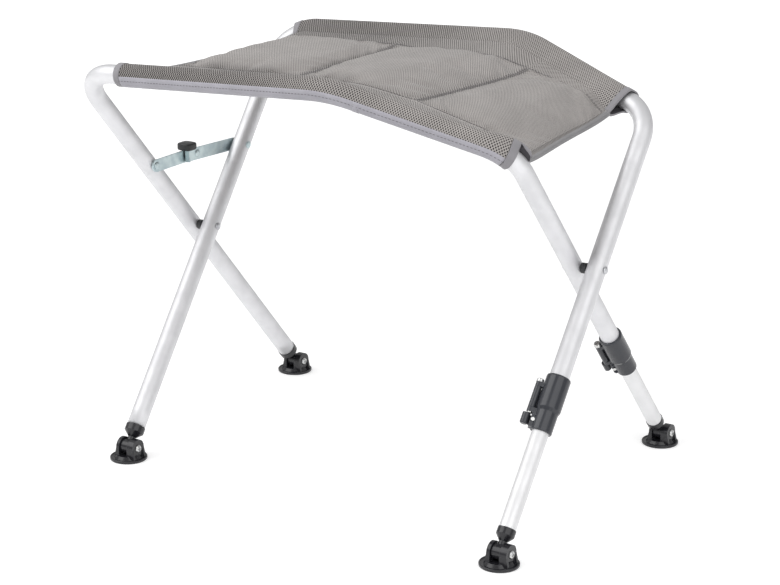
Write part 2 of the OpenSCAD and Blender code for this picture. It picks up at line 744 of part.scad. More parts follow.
// A point in front of the tail's end at u.
function tail_point(f, u) =
  let (c = cos(half_open), s = sin(half_open), turned = bar_turn(u))
  leaned(f, [u, bar_height(u)]) + (tail_reach + fabric_gap)
  * [-s * sin(turned), -f * (c * c + s * s * cos(turned)), c * s * (1 - cos(turned))];

// The columns run evenly between the edges and the two channels.
pads = 3;
columns = 8;
front_knots = [front_sleeve_start, front_channels[0], front_channels[1],
  right_centre_x + corner_r * sin(bar_fall + front_sleeve_wrap)];
rear_knots = [left_end - corner_r * sin(rear_sleeve_lead), rear_channels[0], rear_channels[1],
  right_centre_x + corner_r * sin(bar_fall + rear_sleeve_wrap)];
function mix(a, b, t) = a + (b - a) * t;
function knot(knots, i) =
  let (pad = min(floor(i / columns), pads - 1)) mix(knots[pad], knots[pad + 1], i / columns - pad);

// The rows: two on each flat band's width, and the rest over the pads.
rows = 16;
field_rows = rows - 4;
panel_span = tail_point(B, 0)[1] - tail_point(A, 0)[1];
field_start = front_band / panel_span;
field_end = 1 - rear_band / panel_span;
function row_at(j) =
  j < 2 ? field_start * j / 2
  : j > rows - 2 ? mix(field_end, 1, (j - rows + 2) / 2)
  : mix(field_start, field_end, (j - 2) / field_rows);

// How full the padding is, from 0 in the channels and bands to 1 in the middle of a pad.
function fullness(i, j) =
  let (w = i / columns - floor(i / columns), s = (j - 2) / field_rows)
  s <= 0 || s >= 1 ? 0 : pow(4 * w * (1 - w), 0.6) * pow(4 * s * (1 - s), 0.4);

function panel_point(i, j, below) =
  let (t = row_at(j), side = i / (pads * columns), full = fullness(i, j))
  mix(tail_point(A, knot(front_knots, i)), tail_point(B, knot(rear_knots, i)), t)
  + [side_draw * (1 - 2 * side) * (1 - pow(2 * t - 1, 2)), 0,
    tail_up - mix(sag_left, sag_right, side) * (1 - pow(2 * t - 1, 4)) + crown * full
    - below * mix(band_t, pad_t, full)];

module seat_panel() {
  last = pads * columns;
  layer = (last + 1) * (rows + 1);
  top = [for (i = [0 : last], j = [0 : rows]) panel_point(i, j, 0)];
  bottom = [for (i = [0 : last], j = [0 : rows]) panel_point(i, j, 1)];
  across = [for (i = [0 : last - 1], j = [0 : rows - 1]) let (a = i * (rows + 1) + j, b = a + rows + 1)
    each [[a, a + 1, b + 1], [a, b + 1, b],
      [layer + a, layer + b + 1, layer + a + 1], [layer + a, layer + b, layer + b + 1]]];
  ends = [for (j = [0 : rows - 1]) let (a = j, b = last * (rows + 1) + j)
    each [[a, layer + a, layer + a + 1], [a, layer + a + 1, a + 1],
      [b, b + 1, layer + b + 1], [b, layer + b + 1, layer + b]]];
  tails = [for (i = [0 : last - 1]) let (a = i * (rows + 1), b = a + rows + 1, c = a + rows, d = b + rows)
    each [[a, b, layer + b], [a, layer + b, layer + a],
      [d, c, layer + c], [d, layer + c, layer + d]]];
  color("gray") stand() polyhedron(concat(top, bottom), concat(across, ends, tails));
}

frame_tube(A);  // frame_a_tube
frame_tube(B);  // frame_b_tube
inner_leg(A);  // inner_leg_a
inner_leg(B);  // inner_leg_b
guide_bush(A);  // guide_bush_a
guide_bush(B);  // guide_bush_b
clamp_sleeve(A);  // clamp_sleeve_a
clamp_sleeve(B);  // clamp_sleeve_b
clamp_bolt(A);  // clamp_bolt_a
clamp_bolt(B);  // clamp_bolt_b
clamp_lever(A);  // clamp_lever_a
clamp_lever(B);  // clamp_lever_b
lever_pin(A);  // lever_pin_a
lever_pin(B);  // lever_pin_b
leg_cap(A, LEFT);  // cap_back_left
leg_cap(B, LEFT);  // cap_front_left
leg_cap(A, RIGHT);  // cap_back_right
leg_cap(B, RIGHT);  // cap_front_right
foot(A, LEFT);  // foot_back_left
foot(B, LEFT);  // foot_front_left
foot(A, RIGHT);  // foot_back_right
foot(B, RIGHT);  // foot_front_right
foot_screw(A, LEFT);  // screw_back_left
foot_screw(B, LEFT);  // screw_front_left
foot_screw(A, RIGHT);  // screw_back_right
foot_screw(B, RIGHT);  // screw_front_right
pivot_rivet(LEFT);  // pivot_rivet_left
pivot_rivet(RIGHT);  // pivot_rivet_right
pivot_spacer(LEFT);  // pivot_spacer_left
pivot_spacer(RIGHT);  // pivot_spacer_right
brace_bar_a();
brace_bar_b();
brace_anchor_rivet(A);  // brace_anchor_a
brace_anchor_rivet(B);  // brace_anchor_b
brace_mid_rivet(A);  // brace_mid_rivet_a
brace_mid_rivet(B);  // brace_mid_rivet_b
brace_grip();
sleeve(A);  // front_sleeve
sleeve(B);  // rear_sleeve
seat_panel();
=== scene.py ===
# %% [markdown]
# # A folding footstool
# Two bent tube frames cross like scissors and a padded mesh seat hangs between their top bars.
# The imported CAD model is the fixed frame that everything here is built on: it gives every body,
# every joint and every hard piece, in metres. This script adds what CAD leaves plain.

# %% Load the frame
import json

import bmesh
import bpy
import numpy as np
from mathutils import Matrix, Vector
from mathutils.bvhtree import BVHTree


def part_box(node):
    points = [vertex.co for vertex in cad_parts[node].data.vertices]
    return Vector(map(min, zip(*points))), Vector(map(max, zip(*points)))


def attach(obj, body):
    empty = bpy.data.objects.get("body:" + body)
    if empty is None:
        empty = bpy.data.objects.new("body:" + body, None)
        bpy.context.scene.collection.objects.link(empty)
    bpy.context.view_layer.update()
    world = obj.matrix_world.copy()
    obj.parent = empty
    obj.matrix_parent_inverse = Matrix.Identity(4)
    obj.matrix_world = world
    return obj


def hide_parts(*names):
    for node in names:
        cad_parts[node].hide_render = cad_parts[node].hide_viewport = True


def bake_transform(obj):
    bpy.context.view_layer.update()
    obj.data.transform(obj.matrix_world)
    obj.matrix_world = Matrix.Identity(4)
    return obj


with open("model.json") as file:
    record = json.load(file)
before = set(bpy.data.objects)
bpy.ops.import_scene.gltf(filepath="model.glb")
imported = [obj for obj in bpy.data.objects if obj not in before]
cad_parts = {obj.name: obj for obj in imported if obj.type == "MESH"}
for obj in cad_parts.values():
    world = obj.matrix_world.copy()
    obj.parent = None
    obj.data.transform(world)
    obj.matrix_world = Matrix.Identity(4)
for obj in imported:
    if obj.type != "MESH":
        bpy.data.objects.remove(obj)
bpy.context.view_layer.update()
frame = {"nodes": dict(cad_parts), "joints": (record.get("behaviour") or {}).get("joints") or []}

MM = 0.001

# %% [markdown]
# ## Making materials from nodes
# Every finish here is worked out from object coordinates or from a cloth's own flat map, so it
# has no picture behind it. Three effects are wanted in several materials: the fine grain of a
# blasted or moulded skin, the rounding of a sharp edge, and the rows of holes of a spacer mesh.
# Each is a node group that gives only masks, heights and normals.

# %% Node helpers
def add(tree, kind, inputs=None, **props):
    """One node with its inputs set. An input that is given a socket is joined to it."""
    n = tree.nodes.new(kind)
    for key, value in props.items():
        setattr(n, key, value)
    for key, value in (inputs or {}).items():
        if isinstance(value, bpy.types.NodeSocket):
            tree.links.new(value, n.inputs[key])
        else:
            n.inputs[key].default_value = value
    return n


def maths(tree, operation, *values):
    inputs = dict(enumerate(values))
    return add(tree, "ShaderNodeMath", inputs, operation=operation).outputs[0]


def vector_maths(tree, operation, *values, out="Vector"):
    inputs = dict(enumerate(values))
    return add(tree, "ShaderNodeVectorMath", inputs, operation=operation).outputs[out]


def ramp(tree, value, low, high, to_low=0.0, to_high=1.0):
    """A value carried from the range low to high onto another range, held at its ends."""
    return add(tree, "ShaderNodeMapRange", {"Value": value, "From Min": low, "From Max": high,
               "To Min": to_low, "To Max": to_high}, interpolation_type="SMOOTHSTEP").outputs["Result"]


def group(name, inputs, outputs):
    """An empty node group with its named sockets: (tree, input node, output node)."""
    tree = bpy.data.node_groups.new(name, "ShaderNodeTree")
    for way, sockets in (("INPUT", inputs), ("OUTPUT", outputs)):
        for label, kind in sockets.items():
            tree.interface.new_socket(label, in_out=way, socket_type=kind)
    return tree, tree.nodes.new("NodeGroupInput"), tree.nodes.new("NodeGroupOutput")


def place(tree, shared, inputs):
    """A node group placed in a material with its own values."""
    return add(tree, "ShaderNodeGroup", inputs, node_tree=shared)


FLOAT, VECTOR = "NodeSocketFloat", "NodeSocketVector"

# %% [markdown]
# ### Fine grain
# A skin is never quite even. Small grain comes from blasting or from the mould, and the wide
# patches from handling and from how the finish took. Two sizes of noise give both.

# %% Build the grain group
grain, g_in, g_out = group("fine_grain", {"Vector": VECTOR, "Grain mm": FLOAT, "Patch mm": FLOAT},
                           {"Height": FLOAT, "Patches": FLOAT})
small = maths(grain, "DIVIDE", 1 / MM, g_in.outputs["Grain mm"])
wide = maths(grain, "DIVIDE", 1 / MM, g_in.outputs["Patch mm"])
fine_noise = add(grain, "ShaderNodeTexNoise", {"Vector": g_in.outputs["Vector"], "Scale": small,
                 "Detail": 2.0})
wide_noise = add(grain, "ShaderNodeTexNoise", {"Vector": g_in.outputs["Vector"], "Scale": wide,
                "Detail": 3.0})
grain.links.new(fine_noise.outputs["Fac"], g_out.inputs["Height"])
grain.links.new(ramp(grain, wide_noise.outputs["Fac"], 0.3, 0.7), g_out.inputs["Patches"])
print("group", grain.name)

# %% [markdown]
# ### Rounded edges
# No moulded or pressed edge is a knife edge. The bevel node looks a short way round each point
# and turns the normal over the edge, so an edge catches a thin line of light. Its edge mask also
# lets a material paint a lighter highlight colour along the edge.

# %% Build the edge group
soft_edge, e_in, e_out = group("rounded_edge", {"Radius mm": FLOAT},
                               {"Normal": VECTOR, "Edge": FLOAT})
bevel = add(soft_edge, "ShaderNodeBevel",
            {"Radius": maths(soft_edge, "MULTIPLY", e_in.outputs["Radius mm"], MM)}, samples=6)
true_normal = add(soft_edge, "ShaderNodeNewGeometry").outputs["True Normal"]
same = vector_maths(soft_edge, "DOT_PRODUCT", bevel.outputs["Normal"], true_normal, out="Value")
soft_edge.links.new(bevel.outputs["Normal"], e_out.inputs["Normal"])
# This mask marks the edges, where a material may paint a lighter highlight colour.
soft_edge.links.new(ramp(soft_edge, same, 0.98, 0.8), e_out.inputs["Edge"])
print("group", soft_edge.name)

# %% [markdown]
# ### Spacer mesh
# The cover is a knitted spacer mesh. Its face has rows of small openings, each row set half a
# step along from the last. The nearer of two square lattices, one shifted by half a cell each
# way, gives the distance to the middle of the nearest opening.

# %% Build the mesh group
knit, k_in, k_out = group(
    "spacer_mesh", {"Vector": VECTOR, "Pitch mm": VECTOR, "Hole": FLOAT, "Soft": FLOAT},
    {"Height": FLOAT, "Hole": FLOAT})
uneven = 0.06
wander = add(knit, "ShaderNodeTexNoise", {"Vector": k_in.outputs["Vector"], "Scale": 90.0})
offset = vector_maths(knit, "SUBTRACT", wander.outputs["Color"], (0.5, 0.5, 0.5))
offset = vector_maths(knit, "MULTIPLY", offset, (uneven, uneven, uneven))
cells = vector_maths(knit, "MULTIPLY", k_in.outputs["Vector"], (1 / MM, 1 / MM, 0))
cells = vector_maths(knit, "DIVIDE", cells, k_in.outputs["Pitch mm"])
cells = vector_maths(knit, "ADD", cells, offset)
nearest = []
for shift in ((0.0, 0.0, 0.0), (0.5, 0.5, 0.0)):
    moved = vector_maths(knit, "ADD", cells, shift)
    inside = vector_maths(knit, "SUBTRACT", vector_maths(knit, "FRACTION", moved), (0.5, 0.5, 0.0))
    flat = vector_maths(knit, "MULTIPLY", inside, (1.0, 1.1, 0.0))
    nearest.append(vector_maths(knit, "LENGTH", flat, out="Value"))
distance = maths(knit, "MINIMUM", *nearest)
edge_of_hole = maths(knit, "ADD", k_in.outputs["Hole"], k_in.outputs["Soft"])
body = add(knit, "ShaderNodeMapRange", {"Value": distance, "From Min": k_in.outputs["Hole"],
           "From Max": edge_of_hole}, interpolation_type="SMOOTHSTEP").outputs["Result"]
fibre = add(knit, "ShaderNodeTexNoise", {"Vector": k_in.outputs["Vector"], "Scale": 2600.0,
            "Detail": 2.0}).outputs["Fac"]
knit.links.new(maths(knit, "MULTIPLY_ADD", fibre, 0.15, body), k_out.inputs["Height"])
knit.links.new(maths(knit, "SUBTRACT", 1.0, body), k_out.inputs["Hole"])
print("group", knit.name)

# %% [markdown]
# ## The materials
# The frame is natural anodised aluminium, satin and a little lighter than steel. Clamps, caps
# and feet are black nylon and ABS, the brace is zinc plated steel with its bluish cast, and the
# cover is grey polyester in two meshes with a smooth woven tape round its edges.

# %% Material helpers
def srgb(r, g, b):
    """A colour as it is seen, in steps of 255, to the linear colour that a shader takes."""
    seen = np.array([r, g, b]) / 255
    linear = np.where(seen <= 0.04045, seen / 12.92, ((seen + 0.055) / 1.055) ** 2.4)
    return (*linear.tolist(), 1.0)


def material(name, **sockets):
    """(material, its tree, its Principled BSDF) with plain values on the shader's sockets."""
    made = bpy.data.materials.new(name)
    made.use_nodes = True
    tree = made.node_tree
    shader = tree.nodes["Principled BSDF"]
    for label, value in sockets.items():
        shader.inputs[label.replace("_", " ")].default_value = value
    return made, tree, shader


def mixed(tree, mask, first, second, kind="RGBA", **props):
    """Two colours, or two numbers, mixed by a mask. Each is a plain value or a socket."""
    n = add(tree, "ShaderNodeMix", {"Factor": mask}, data_type=kind, **props)
    for port, value in zip([q for q in n.inputs if q.enabled and q.name in "AB"], (first, second)):
        if isinstance(value, bpy.types.NodeSocket):
            tree.links.new(value, port)
        else:
            port.default_value = value
    return next(q for q in n.outputs if q.enabled)


def bumped(tree, shader, height, strength, distance, normal=None):
    inputs = {"Height": height, "Strength": strength, "Distance": distance * MM}
    if normal is not None:
        inputs["Normal"] = normal
    tree.links.new(add(tree, "ShaderNodeBump", inputs).outputs["Normal"], shader.inputs["Normal"])


def own_place(tree):
    return add(tree, "ShaderNodeTexCoord").outputs["Object"]


def cloth_map(tree):
    return add(tree, "ShaderNodeUVMap", uv_map="cloth").outputs["UV"]


def skinned(name, colour, other, rough, grain_mm, patch_mm, bump, edge=None, by="Patches", **sockets):
    """A hard finish of two colours mixed by its grain's patches, or with the second as a painted
    highlight along its edges, with the roughness (low, high) and the bump (strength, mm). Its
    edges are rounded by edge mm."""
    made, tree, shader = material(name, **sockets)
    rounded = place(tree, soft_edge, {"Radius mm": edge}) if edge else None
    skin = place(tree, grain, {"Vector": own_place(tree), "Grain mm": grain_mm,
                               "Patch mm": patch_mm})
    mask = (skin if by == "Patches" else rounded).outputs[by]
    tree.links.new(mixed(tree, mask, srgb(*colour), srgb(*other)), shader.inputs["Base Color"])
    tree.links.new(ramp(tree, skin.outputs["Patches"], 0.0, 1.0, *rough),
                   shader.inputs["Roughness"])
    bumped(tree, shader, skin.outputs["Height"], *bump,
           rounded.outputs["Normal"] if edge else None)
    return made


# %% Metals
def anodised(name, colour, darker, rough):
    return skinned(name, colour, darker, (rough, rough + 0.06), 0.5, 24.0, (0.12, 0.05),
                   Metallic=1.0)


def plated(name, colour, darker, rough):
    return skinned(name, colour, darker, (rough, rough + 0.1), 0.7, 9.0, (0.1, 0.05), 0.35,
                   Metallic=1.0)


tube_metal = anodised("anodised_tube", (227, 227, 229), (221, 221, 223), 0.56)
inner_metal = anodised("anodised_inner", (234, 234, 235), (229, 229, 230), 0.54)
zinc = plated("zinc_plate", (198, 211, 212), (184, 199, 203), 0.36)
screws = plated("bright_screws", (214, 214, 212), (196, 197, 198), 0.2)
rivets = plated("plain_rivets", (196, 197, 200), (178, 179, 183), 0.3)
print("metals", [m.name for m in (tube_metal, inner_metal, zinc, screws, rivets)])


# %% Plastics
# A moulded finish's second, lighter colour is a painted highlight along its rounded edges.
def moulded(name, colour, lighter, rough, grain_mm=0.8, grain_height=0.1):
    return skinned(name, colour, lighter, (rough, rough + 0.08), grain_mm, 18.0,
                   (grain_height, 0.1), 0.6, "Edge", Specular_IOR_Level=0.5)


clamp_black = moulded("clamp_plastic", (52, 54, 60), (120, 123, 130), 0.17)
foot_black = moulded("foot_plastic", (33, 33, 37), (84, 86, 91), 0.18)
spacer_black = moulded("spacer_plastic", (40, 41, 44), (60, 61, 64), 0.4)
grip_black = moulded("grip_plastic", (30, 31, 33), (58, 60, 64), 0.36, grain_mm=1.2,
                     grain_height=0.3)
print("plastics", [m.name for m in (clamp_black, foot_black, spacer_black, grip_black)])


# %% Cloths
def knit_face(tree, pitch, hole, soft, yarn, deep, plain=None):
    """(colour, height) of one mesh: light yarn round dark openings, closed where it is plain."""
    face = place(tree, knit, {"Vector": cloth_map(tree), "Pitch mm": pitch, "Hole": hole,
                              "Soft": soft})
    opening = face.outputs["Hole"]
    if plain is not None:
        opening = maths(tree, "MULTIPLY", opening, maths(tree, "SUBTRACT", 1.0, plain))
    return mixed(tree, opening, srgb(*yarn), srgb(*deep)), face.outputs["Height"]


def cloth_shader(name):
    return material(name, Roughness=0.85, Sheen_Weight=0.25, Sheen_Roughness=0.4,
                    Specular_IOR_Level=0.25)


def coarse_face(tree, plain=None):
    """The open mesh. It is stretched wider open at the left end of the bars than at the right."""
    along = add(tree, "ShaderNodeSeparateXYZ", {"Vector": cloth_map(tree)}).outputs["X"]
    hole = ramp(tree, along, 0.1, 0.4, 0.25, 0.17)
    return knit_face(tree, (3.0, 4.4, 1.0), hole, 0.14, (180, 175, 172), (58, 55, 54), plain)


def fine_face(tree):
    return knit_face(tree, (2.3, 3.3, 1.0), 0.16, 0.16, (186, 181, 178), (92, 88, 87))


def tinted(tree, colour):
    """The colour a little lighter and darker in wide patches, as dyed yarn is."""
    skin = place(tree, grain, {"Vector": own_place(tree), "Grain mm": 1.0, "Patch mm": 45.0})
    shade = mixed(tree, skin.outputs["Patches"], (0.93, 0.93, 0.93, 1), (1.04, 1.04, 1.04, 1))
    return mixed(tree, 1.0, colour, shade, blend_type="MULTIPLY")


def coarse_mesh():
    made, tree, shader = cloth_shader("coarse_mesh")
    colour, height = coarse_face(tree)
    tree.links.new(tinted(tree, colour), shader.inputs["Base Color"])
    bumped(tree, shader, height, 0.8, 0.9)
    return made


def quilted_mesh():
    """Fine mesh over the pads, stretched open to the coarse one along the seams, with painted shade
    darkening the edges of the pads.
    """
    made, tree, shader = cloth_shader("quilted_mesh")
    on_pad = add(tree, "ShaderNodeAttribute", attribute_name="fine").outputs["Fac"]
    across = add(tree, "ShaderNodeSeparateXYZ", {"Vector": cloth_map(tree)}).outputs["Y"]
    selvage = maths(tree, "MULTIPLY", ramp(tree, across, -0.007, -0.005),
                    ramp(tree, across, 0.0005, -0.0005))
    coarse, fine = coarse_face(tree, selvage), fine_face(tree)
    colour = mixed(tree, on_pad, coarse[0], fine[0])
    height = mixed(tree, on_pad, coarse[1], fine[1], "FLOAT")
    # Painted shade: along the edges of the pads the colour is darkened towards a dark grey, as the
    # pads fold down into their seams.
    crease = add(tree, "ShaderNodeAttribute", attribute_name="crease").outputs["Fac"]
    shadowed = mixed(tree, maths(tree, "MULTIPLY", crease, 0.38), tinted(tree, colour),
                     srgb(52, 50, 50))
    tree.links.new(shadowed, shader.inputs["Base Color"])
    bumped(tree, shader, height, 0.6, 0.6)
    return made


def woven_tape(name, colour, lighter):
    made, tree, shader = material(name, Roughness=0.62, Sheen_Weight=0.3, Specular_IOR_Level=0.35)
    rib = add(tree, "ShaderNodeTexWave", {"Vector": cloth_map(tree), "Scale": 320.0,
              "Distortion": 0.6, "Detail": 1.0}, bands_direction="X")
    skin = place(tree, grain, {"Vector": cloth_map(tree), "Grain mm": 0.8, "Patch mm": 26.0})
    tree.links.new(mixed(tree, skin.outputs["Patches"], srgb(*colour), srgb(*lighter)),
                   shader.inputs["Base Color"])
    bumped(tree, shader, rib.outputs["Fac"], 0.25, 0.12)
    return made


sleeve_cloth = coarse_mesh()
seat_cloth = quilted_mesh()
hem_cloth = woven_tape("hem_tape", (168, 166, 174), (178, 176, 184))
binding_cloth = woven_tape("binding_tape", (140, 138, 142), (150, 148, 152))
edge_cloth = woven_tape("edge_tape", (122, 121, 123), (132, 131, 133))
# Painted shade: a plain dark grey for the inside of the sleeves, standing for the shade in their
# hollow.
inner_shade_cloth = material("painted_inner_shade", Base_Color=srgb(66, 64, 68), Roughness=0.9)[0]
# The thread's dark grey is partly its own colour and partly painted shade, so that the stitch rows
# read as the dark dots of their shaded dimples.
sewing_thread = material("sewing_thread", Base_Color=srgb(108, 105, 108), Roughness=0.6)[0]
cloths = (sleeve_cloth, seat_cloth, hem_cloth, binding_cloth, edge_cloth, inner_shade_cloth)
print("cloths", [m.name for m in cloths])

# %% [markdown]
# ## The flat drawing of a frame
# Each frame is bent from one tube that lies flat on the bench, so its middle line is easiest to
# give flat: straight stretches and round bends, with x across and y up the legs. Then the drawing
# is leaned back or forward and set on the pivots. A is the frame with the bar at the front.

# %% Driving dimensions, the same as in the CAD source
A, B = -1, 1
LEFT, RIGHT = -1, 1
leg_spacing = 535 * MM
tube_d = 22 * MM
leg_gap = 6.7 * MM
half_open = np.radians(39.7)
splay = np.radians(0.97)
axis_tilt = np.radians(3.28)
bar_reach = 282 * MM
bar_bend_x = 79.5 * MM
bar_fall = np.radians(24.2)
bend_r = 130 * MM
corner_r = 50 * MM
tube_r = tube_d / 2
tube_wall = 1.4 * MM
pivot = np.array(next(j for j in frame["joints"] if j["name"] == "fold")["pos_m"])


def turn_matrix(axis, angle):
    """A rotation about the x, y or z axis by the right-hand rule."""
    i = "xyz".index(axis)
    j, k = (i + 1) % 3, (i + 2) % 3
    m = np.eye(3)
    m[j, j] = m[k, k] = np.cos(angle)
    m[k, j] = np.sin(angle)
    m[j, k] = -np.sin(angle)
    return m


def frame_shift(f):
    """How far the frame's middle is from the stool's middle, along the pivot axis."""
    return f * (tube_d + leg_gap) / 2


def lean(f):
    """The turn that stands a flat drawing up: it leans by the opening angle, then tilts."""
    return turn_matrix("y", -axis_tilt) @ turn_matrix("x", np.pi / 2 - f * half_open)


def stand(f, flat):
    """Points of frame f's flat drawing, in the stool's own coordinates."""
    flat = np.asarray(flat) + [frame_shift(f), 0, 0]
    return flat @ lean(f).T + pivot


# %% The bent middle line
slope = np.tan(bar_fall)
left_corner = np.array([-leg_spacing / 2 - bar_reach * np.tan(splay), bar_reach])
right_corner_x = (leg_spacing / 2 + np.tan(splay) * (bar_reach + slope * bar_bend_x)) / (
    1 + np.tan(splay) * slope)
right_corner = np.array([right_corner_x, bar_reach - slope * (right_corner_x - bar_bend_x)])
bend_point = np.array([bar_bend_x, bar_reach])


def leg_point(side, d):
    """A point on a leg, at distance d above the pivot."""
    return np.array([side * (leg_spacing / 2 + d * np.sin(splay)), d * np.cos(splay)])


def bent_line(corners, radii, step, arc_step):
    """(points, headings) along straight lines joined by round bends: each bend starts
    radius x tan(half its turn) before the corner, and turns to the right."""
    corners = [np.asarray(c, float) for c in corners]
    points, headings = [], []
    start = corners[0]
    for i in range(1, len(corners)):
        along = corners[i] - corners[i - 1]
        h = np.arctan2(along[1], along[0])
        if i < len(corners) - 1:
            after = corners[i + 1] - corners[i]
            turn = h - np.arctan2(after[1], after[0])
            end = corners[i] - radii[i] * np.tan(turn / 2) * np.array([np.cos(h), np.sin(h)])
        else:
            turn, end = 0, corners[i]
        n = max(int(np.linalg.norm(end - start) / step), 2)
        t = np.linspace(0, 1, n, endpoint=turn == 0)[:, None]
        points.append(start + (end - start) * t)
        headings.append(np.full(n, h))
        if turn:
            centre = end + radii[i] * np.array([np.sin(h), -np.cos(h)])
            a = h - np.linspace(0, turn, int(turn / arc_step) + 2)[:-1]
            points.append(centre + radii[i] * np.stack([-np.sin(a), np.cos(a)], 1))
            headings.append(a)
            start = centre + radii[i] * np.array([-np.sin(h - turn), np.cos(h - turn)])
    return np.concatenate(points), np.concatenate(headings)


# %% [markdown]
# ## Surfaces on a grid
# A tube, a sleeve and a cushion are all a grid of points bent into shape. One helper carries a
# profile along a line, and one joins any grid into quads. The grid's own flat map is in metres,
# so that a weave keeps its real size on every piece.

# %% Grid helpers
def carry(points, headings, profile):
    """Row i, column j is points[i] + out x profile[i, j, 0] in the drawing's plane, at height
    profile[i, j, 1] over it, where out is the heading turned a quarter to the left. A profile
    with no rows of its own serves every row."""
    out = np.stack([-np.sin(headings), np.cos(headings)], 1)
    profile = np.broadcast_to(profile, (len(points), *profile.shape[-2:]))
    flat = points[:, None, :] + profile[..., :1] * out[:, None, :]
    return np.concatenate([flat, profile[..., 1:]], 2)


def piece_of(name, points, faces, uv=None):
    """A smooth object of these points and faces, turned outward. The flat map uv is given for
    the corners of the first faces, and the rest lie at its origin."""
    mesh = bpy.data.meshes.new(name)
    mesh.from_pydata(points.reshape(-1, 3).tolist(), [], faces)
    if uv is not None:
        on_map = np.zeros((len(mesh.loops), 2))
        on_map[:len(uv)] = uv
        mesh.uv_layers.new(name="cloth").data.foreach_set("uv", on_map.ravel())
    work = bmesh.new()
    work.from_mesh(mesh)
    bmesh.ops.recalc_face_normals(work, faces=work.faces)
    work.to_mesh(mesh)
    work.free()
    mesh.shade_smooth()
    piece = bpy.data.objects.new(name, mesh)
    bpy.context.scene.collection.objects.link(piece)
    return piece


def quad_corners(rows, cols):
    """The row and the column of the four corners of every quad, rows x cols quads in all."""
    i, j = np.meshgrid(np.arange(rows), np.arange(cols), indexing="ij")
    return (np.stack([i, i + 1, i + 1, i], -1).reshape(-1, 4),
            np.stack([j, j, j + 1, j + 1], -1).reshape(-1, 4))


def grid_mesh(name, grid, uv, closed_run=False, more_faces=None):
    """A closed mesh from points of shape (rows, columns, 3) joined into quads. Each row is a
    loop. A closed run also joins its last row to its first, and an open one is capped at both
    ends, unless more faces are given. Where the grid closes, uv has one more row or column."""
    rows, cols = grid.shape[:2]
    r, c = quad_corners(rows if closed_run else rows - 1, cols)
    quads = r % rows * cols + c % cols
    if more_faces is None:
        ends = [] if closed_run else [0, (rows - 1) * cols]
        more_faces = [list(range(first, first + cols)) for first in ends]
    on_map = uv.reshape(-1, 2)[(r * uv.shape[1] + c).ravel()]
    return piece_of(name, grid, quads.tolist() + more_faces, on_map)


def unit(v):
    return v / np.linalg.norm(v, axis=-1, keepdims=True)


def lengths(points):
    """Distance along a line of points."""
    return np.concatenate([[0], np.cumsum(np.linalg.norm(np.diff(points, axis=0), axis=1))])


def round_length(loop):
    """Distance along a loop of points, back to its first."""
    return lengths(np.concatenate([loop, loop[:1]]))


def flat_map(along, across):
    return np.stack(np.meshgrid(along, across, indexing="ij"), -1)


def walled(points, headings, outer, inner, first=0.0):
    """(grid, flat map) of a hollow run: out along the outer profile and back along the inner."""
    skin = carry(points, headings, outer)
    bore = carry(points, headings, inner)[::-1]
    along = lengths(points) + first
    back = 2 * along[-1] - along[::-1] + 2 * MM
    uv = flat_map(np.concatenate([along, back, [back[-1] + 2 * MM]]),
                  round_length(outer if outer.ndim == 2 else outer[0]))
    return np.concatenate([skin, bore]), uv


def finish_piece(piece, finish):
    """Give a piece its material and its slot, and print its size."""
    piece.data.materials.append(finish)
    print(piece.name, "faces", len(piece.data.polygons))


# %% [markdown]
# ## The two bent tubes
# The real ones are aluminium tube, 22 mm across with a thin wall. The CAD solid is right but its
# skin is cut into flat strips, so each tube is drawn again as a round ring profile carried along
# the bent line. The lower right ends stay open, because the inner tubes slide in there.

# %% Make the tubes
pins = {j["name"][5:-7]: np.array(j["pos_m"]) for j in frame["joints"]
        if j["name"].startswith("foot_")}
cap_len = 26 * MM
clamp_top = 131 * MM
clamp_wide_len = 38 * MM


def tube_end(f, side):
    """How far below the pivot a tube ends: on its cap's plug, or inside its clamp."""
    if side == RIGHT:
        return clamp_top + clamp_wide_len - 2 * MM
    hinge = stand(f, [side * leg_spacing / 2, 0, 0])
    return np.linalg.norm(pins["back_left" if f == A else "front_left"] - hinge) - cap_len


def frame_line(f, step, arc_step=np.radians(2)):
    corners = [leg_point(LEFT, -tube_end(f, LEFT)), left_corner, bend_point, right_corner,
               leg_point(RIGHT, -tube_end(f, RIGHT))]
    return bent_line(corners, [0, corner_r, bend_r, corner_r, 0], step, arc_step)


def circle(r, n=64):
    a = np.linspace(0, 2 * np.pi, n, endpoint=False)
    return r * np.stack([np.cos(a), np.sin(a)], 1)


for f, carrier in ((A, "frame_a"), (B, "frame_b")):
    points, headings = frame_line(f, step=20 * MM)
    flat, uv = walled(points, headings, circle(tube_r), circle(tube_r - tube_wall))
    tube = grid_mesh(carrier + "_bent_tube", stand(f, flat), uv, closed_run=True)
    finish_piece(tube, tube_metal)
    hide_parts(carrier + "_tube")
    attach(tube, carrier)

# %% [markdown]
# ## The sleeves
# The cover's front and rear edges are folded round the bars and sewn to themselves. Seen from
# the end such a sleeve is a drop: round over the bar, drawn together where it meets the seat.
# The profile is one loop of points outside and one inside, carried along the bar. The inner skin
# is painted a plain dark grey as the shade inside the sleeve, which shows where it gapes at its
# right end.

# %% Shape the sleeve's profile
fabric_gap = 0.3 * MM
sleeve_wall = 1.7 * MM
tail_reach = 26 * MM
band_t = 3 * MM
tail_up = 1 * MM
sleeve_start = {A: -209 * MM, B: -bar_reach}
sleeve_lead = {A: np.radians(80), B: np.radians(31)}
sleeve_wrap = {A: np.radians(34), B: np.radians(2)}
loose_wrap = {A: np.radians(4), B: 0}
sleeve_r = tube_r + fabric_gap + sleeve_wall
lip = np.radians(60)
ring_points, lip_points = 73, 10


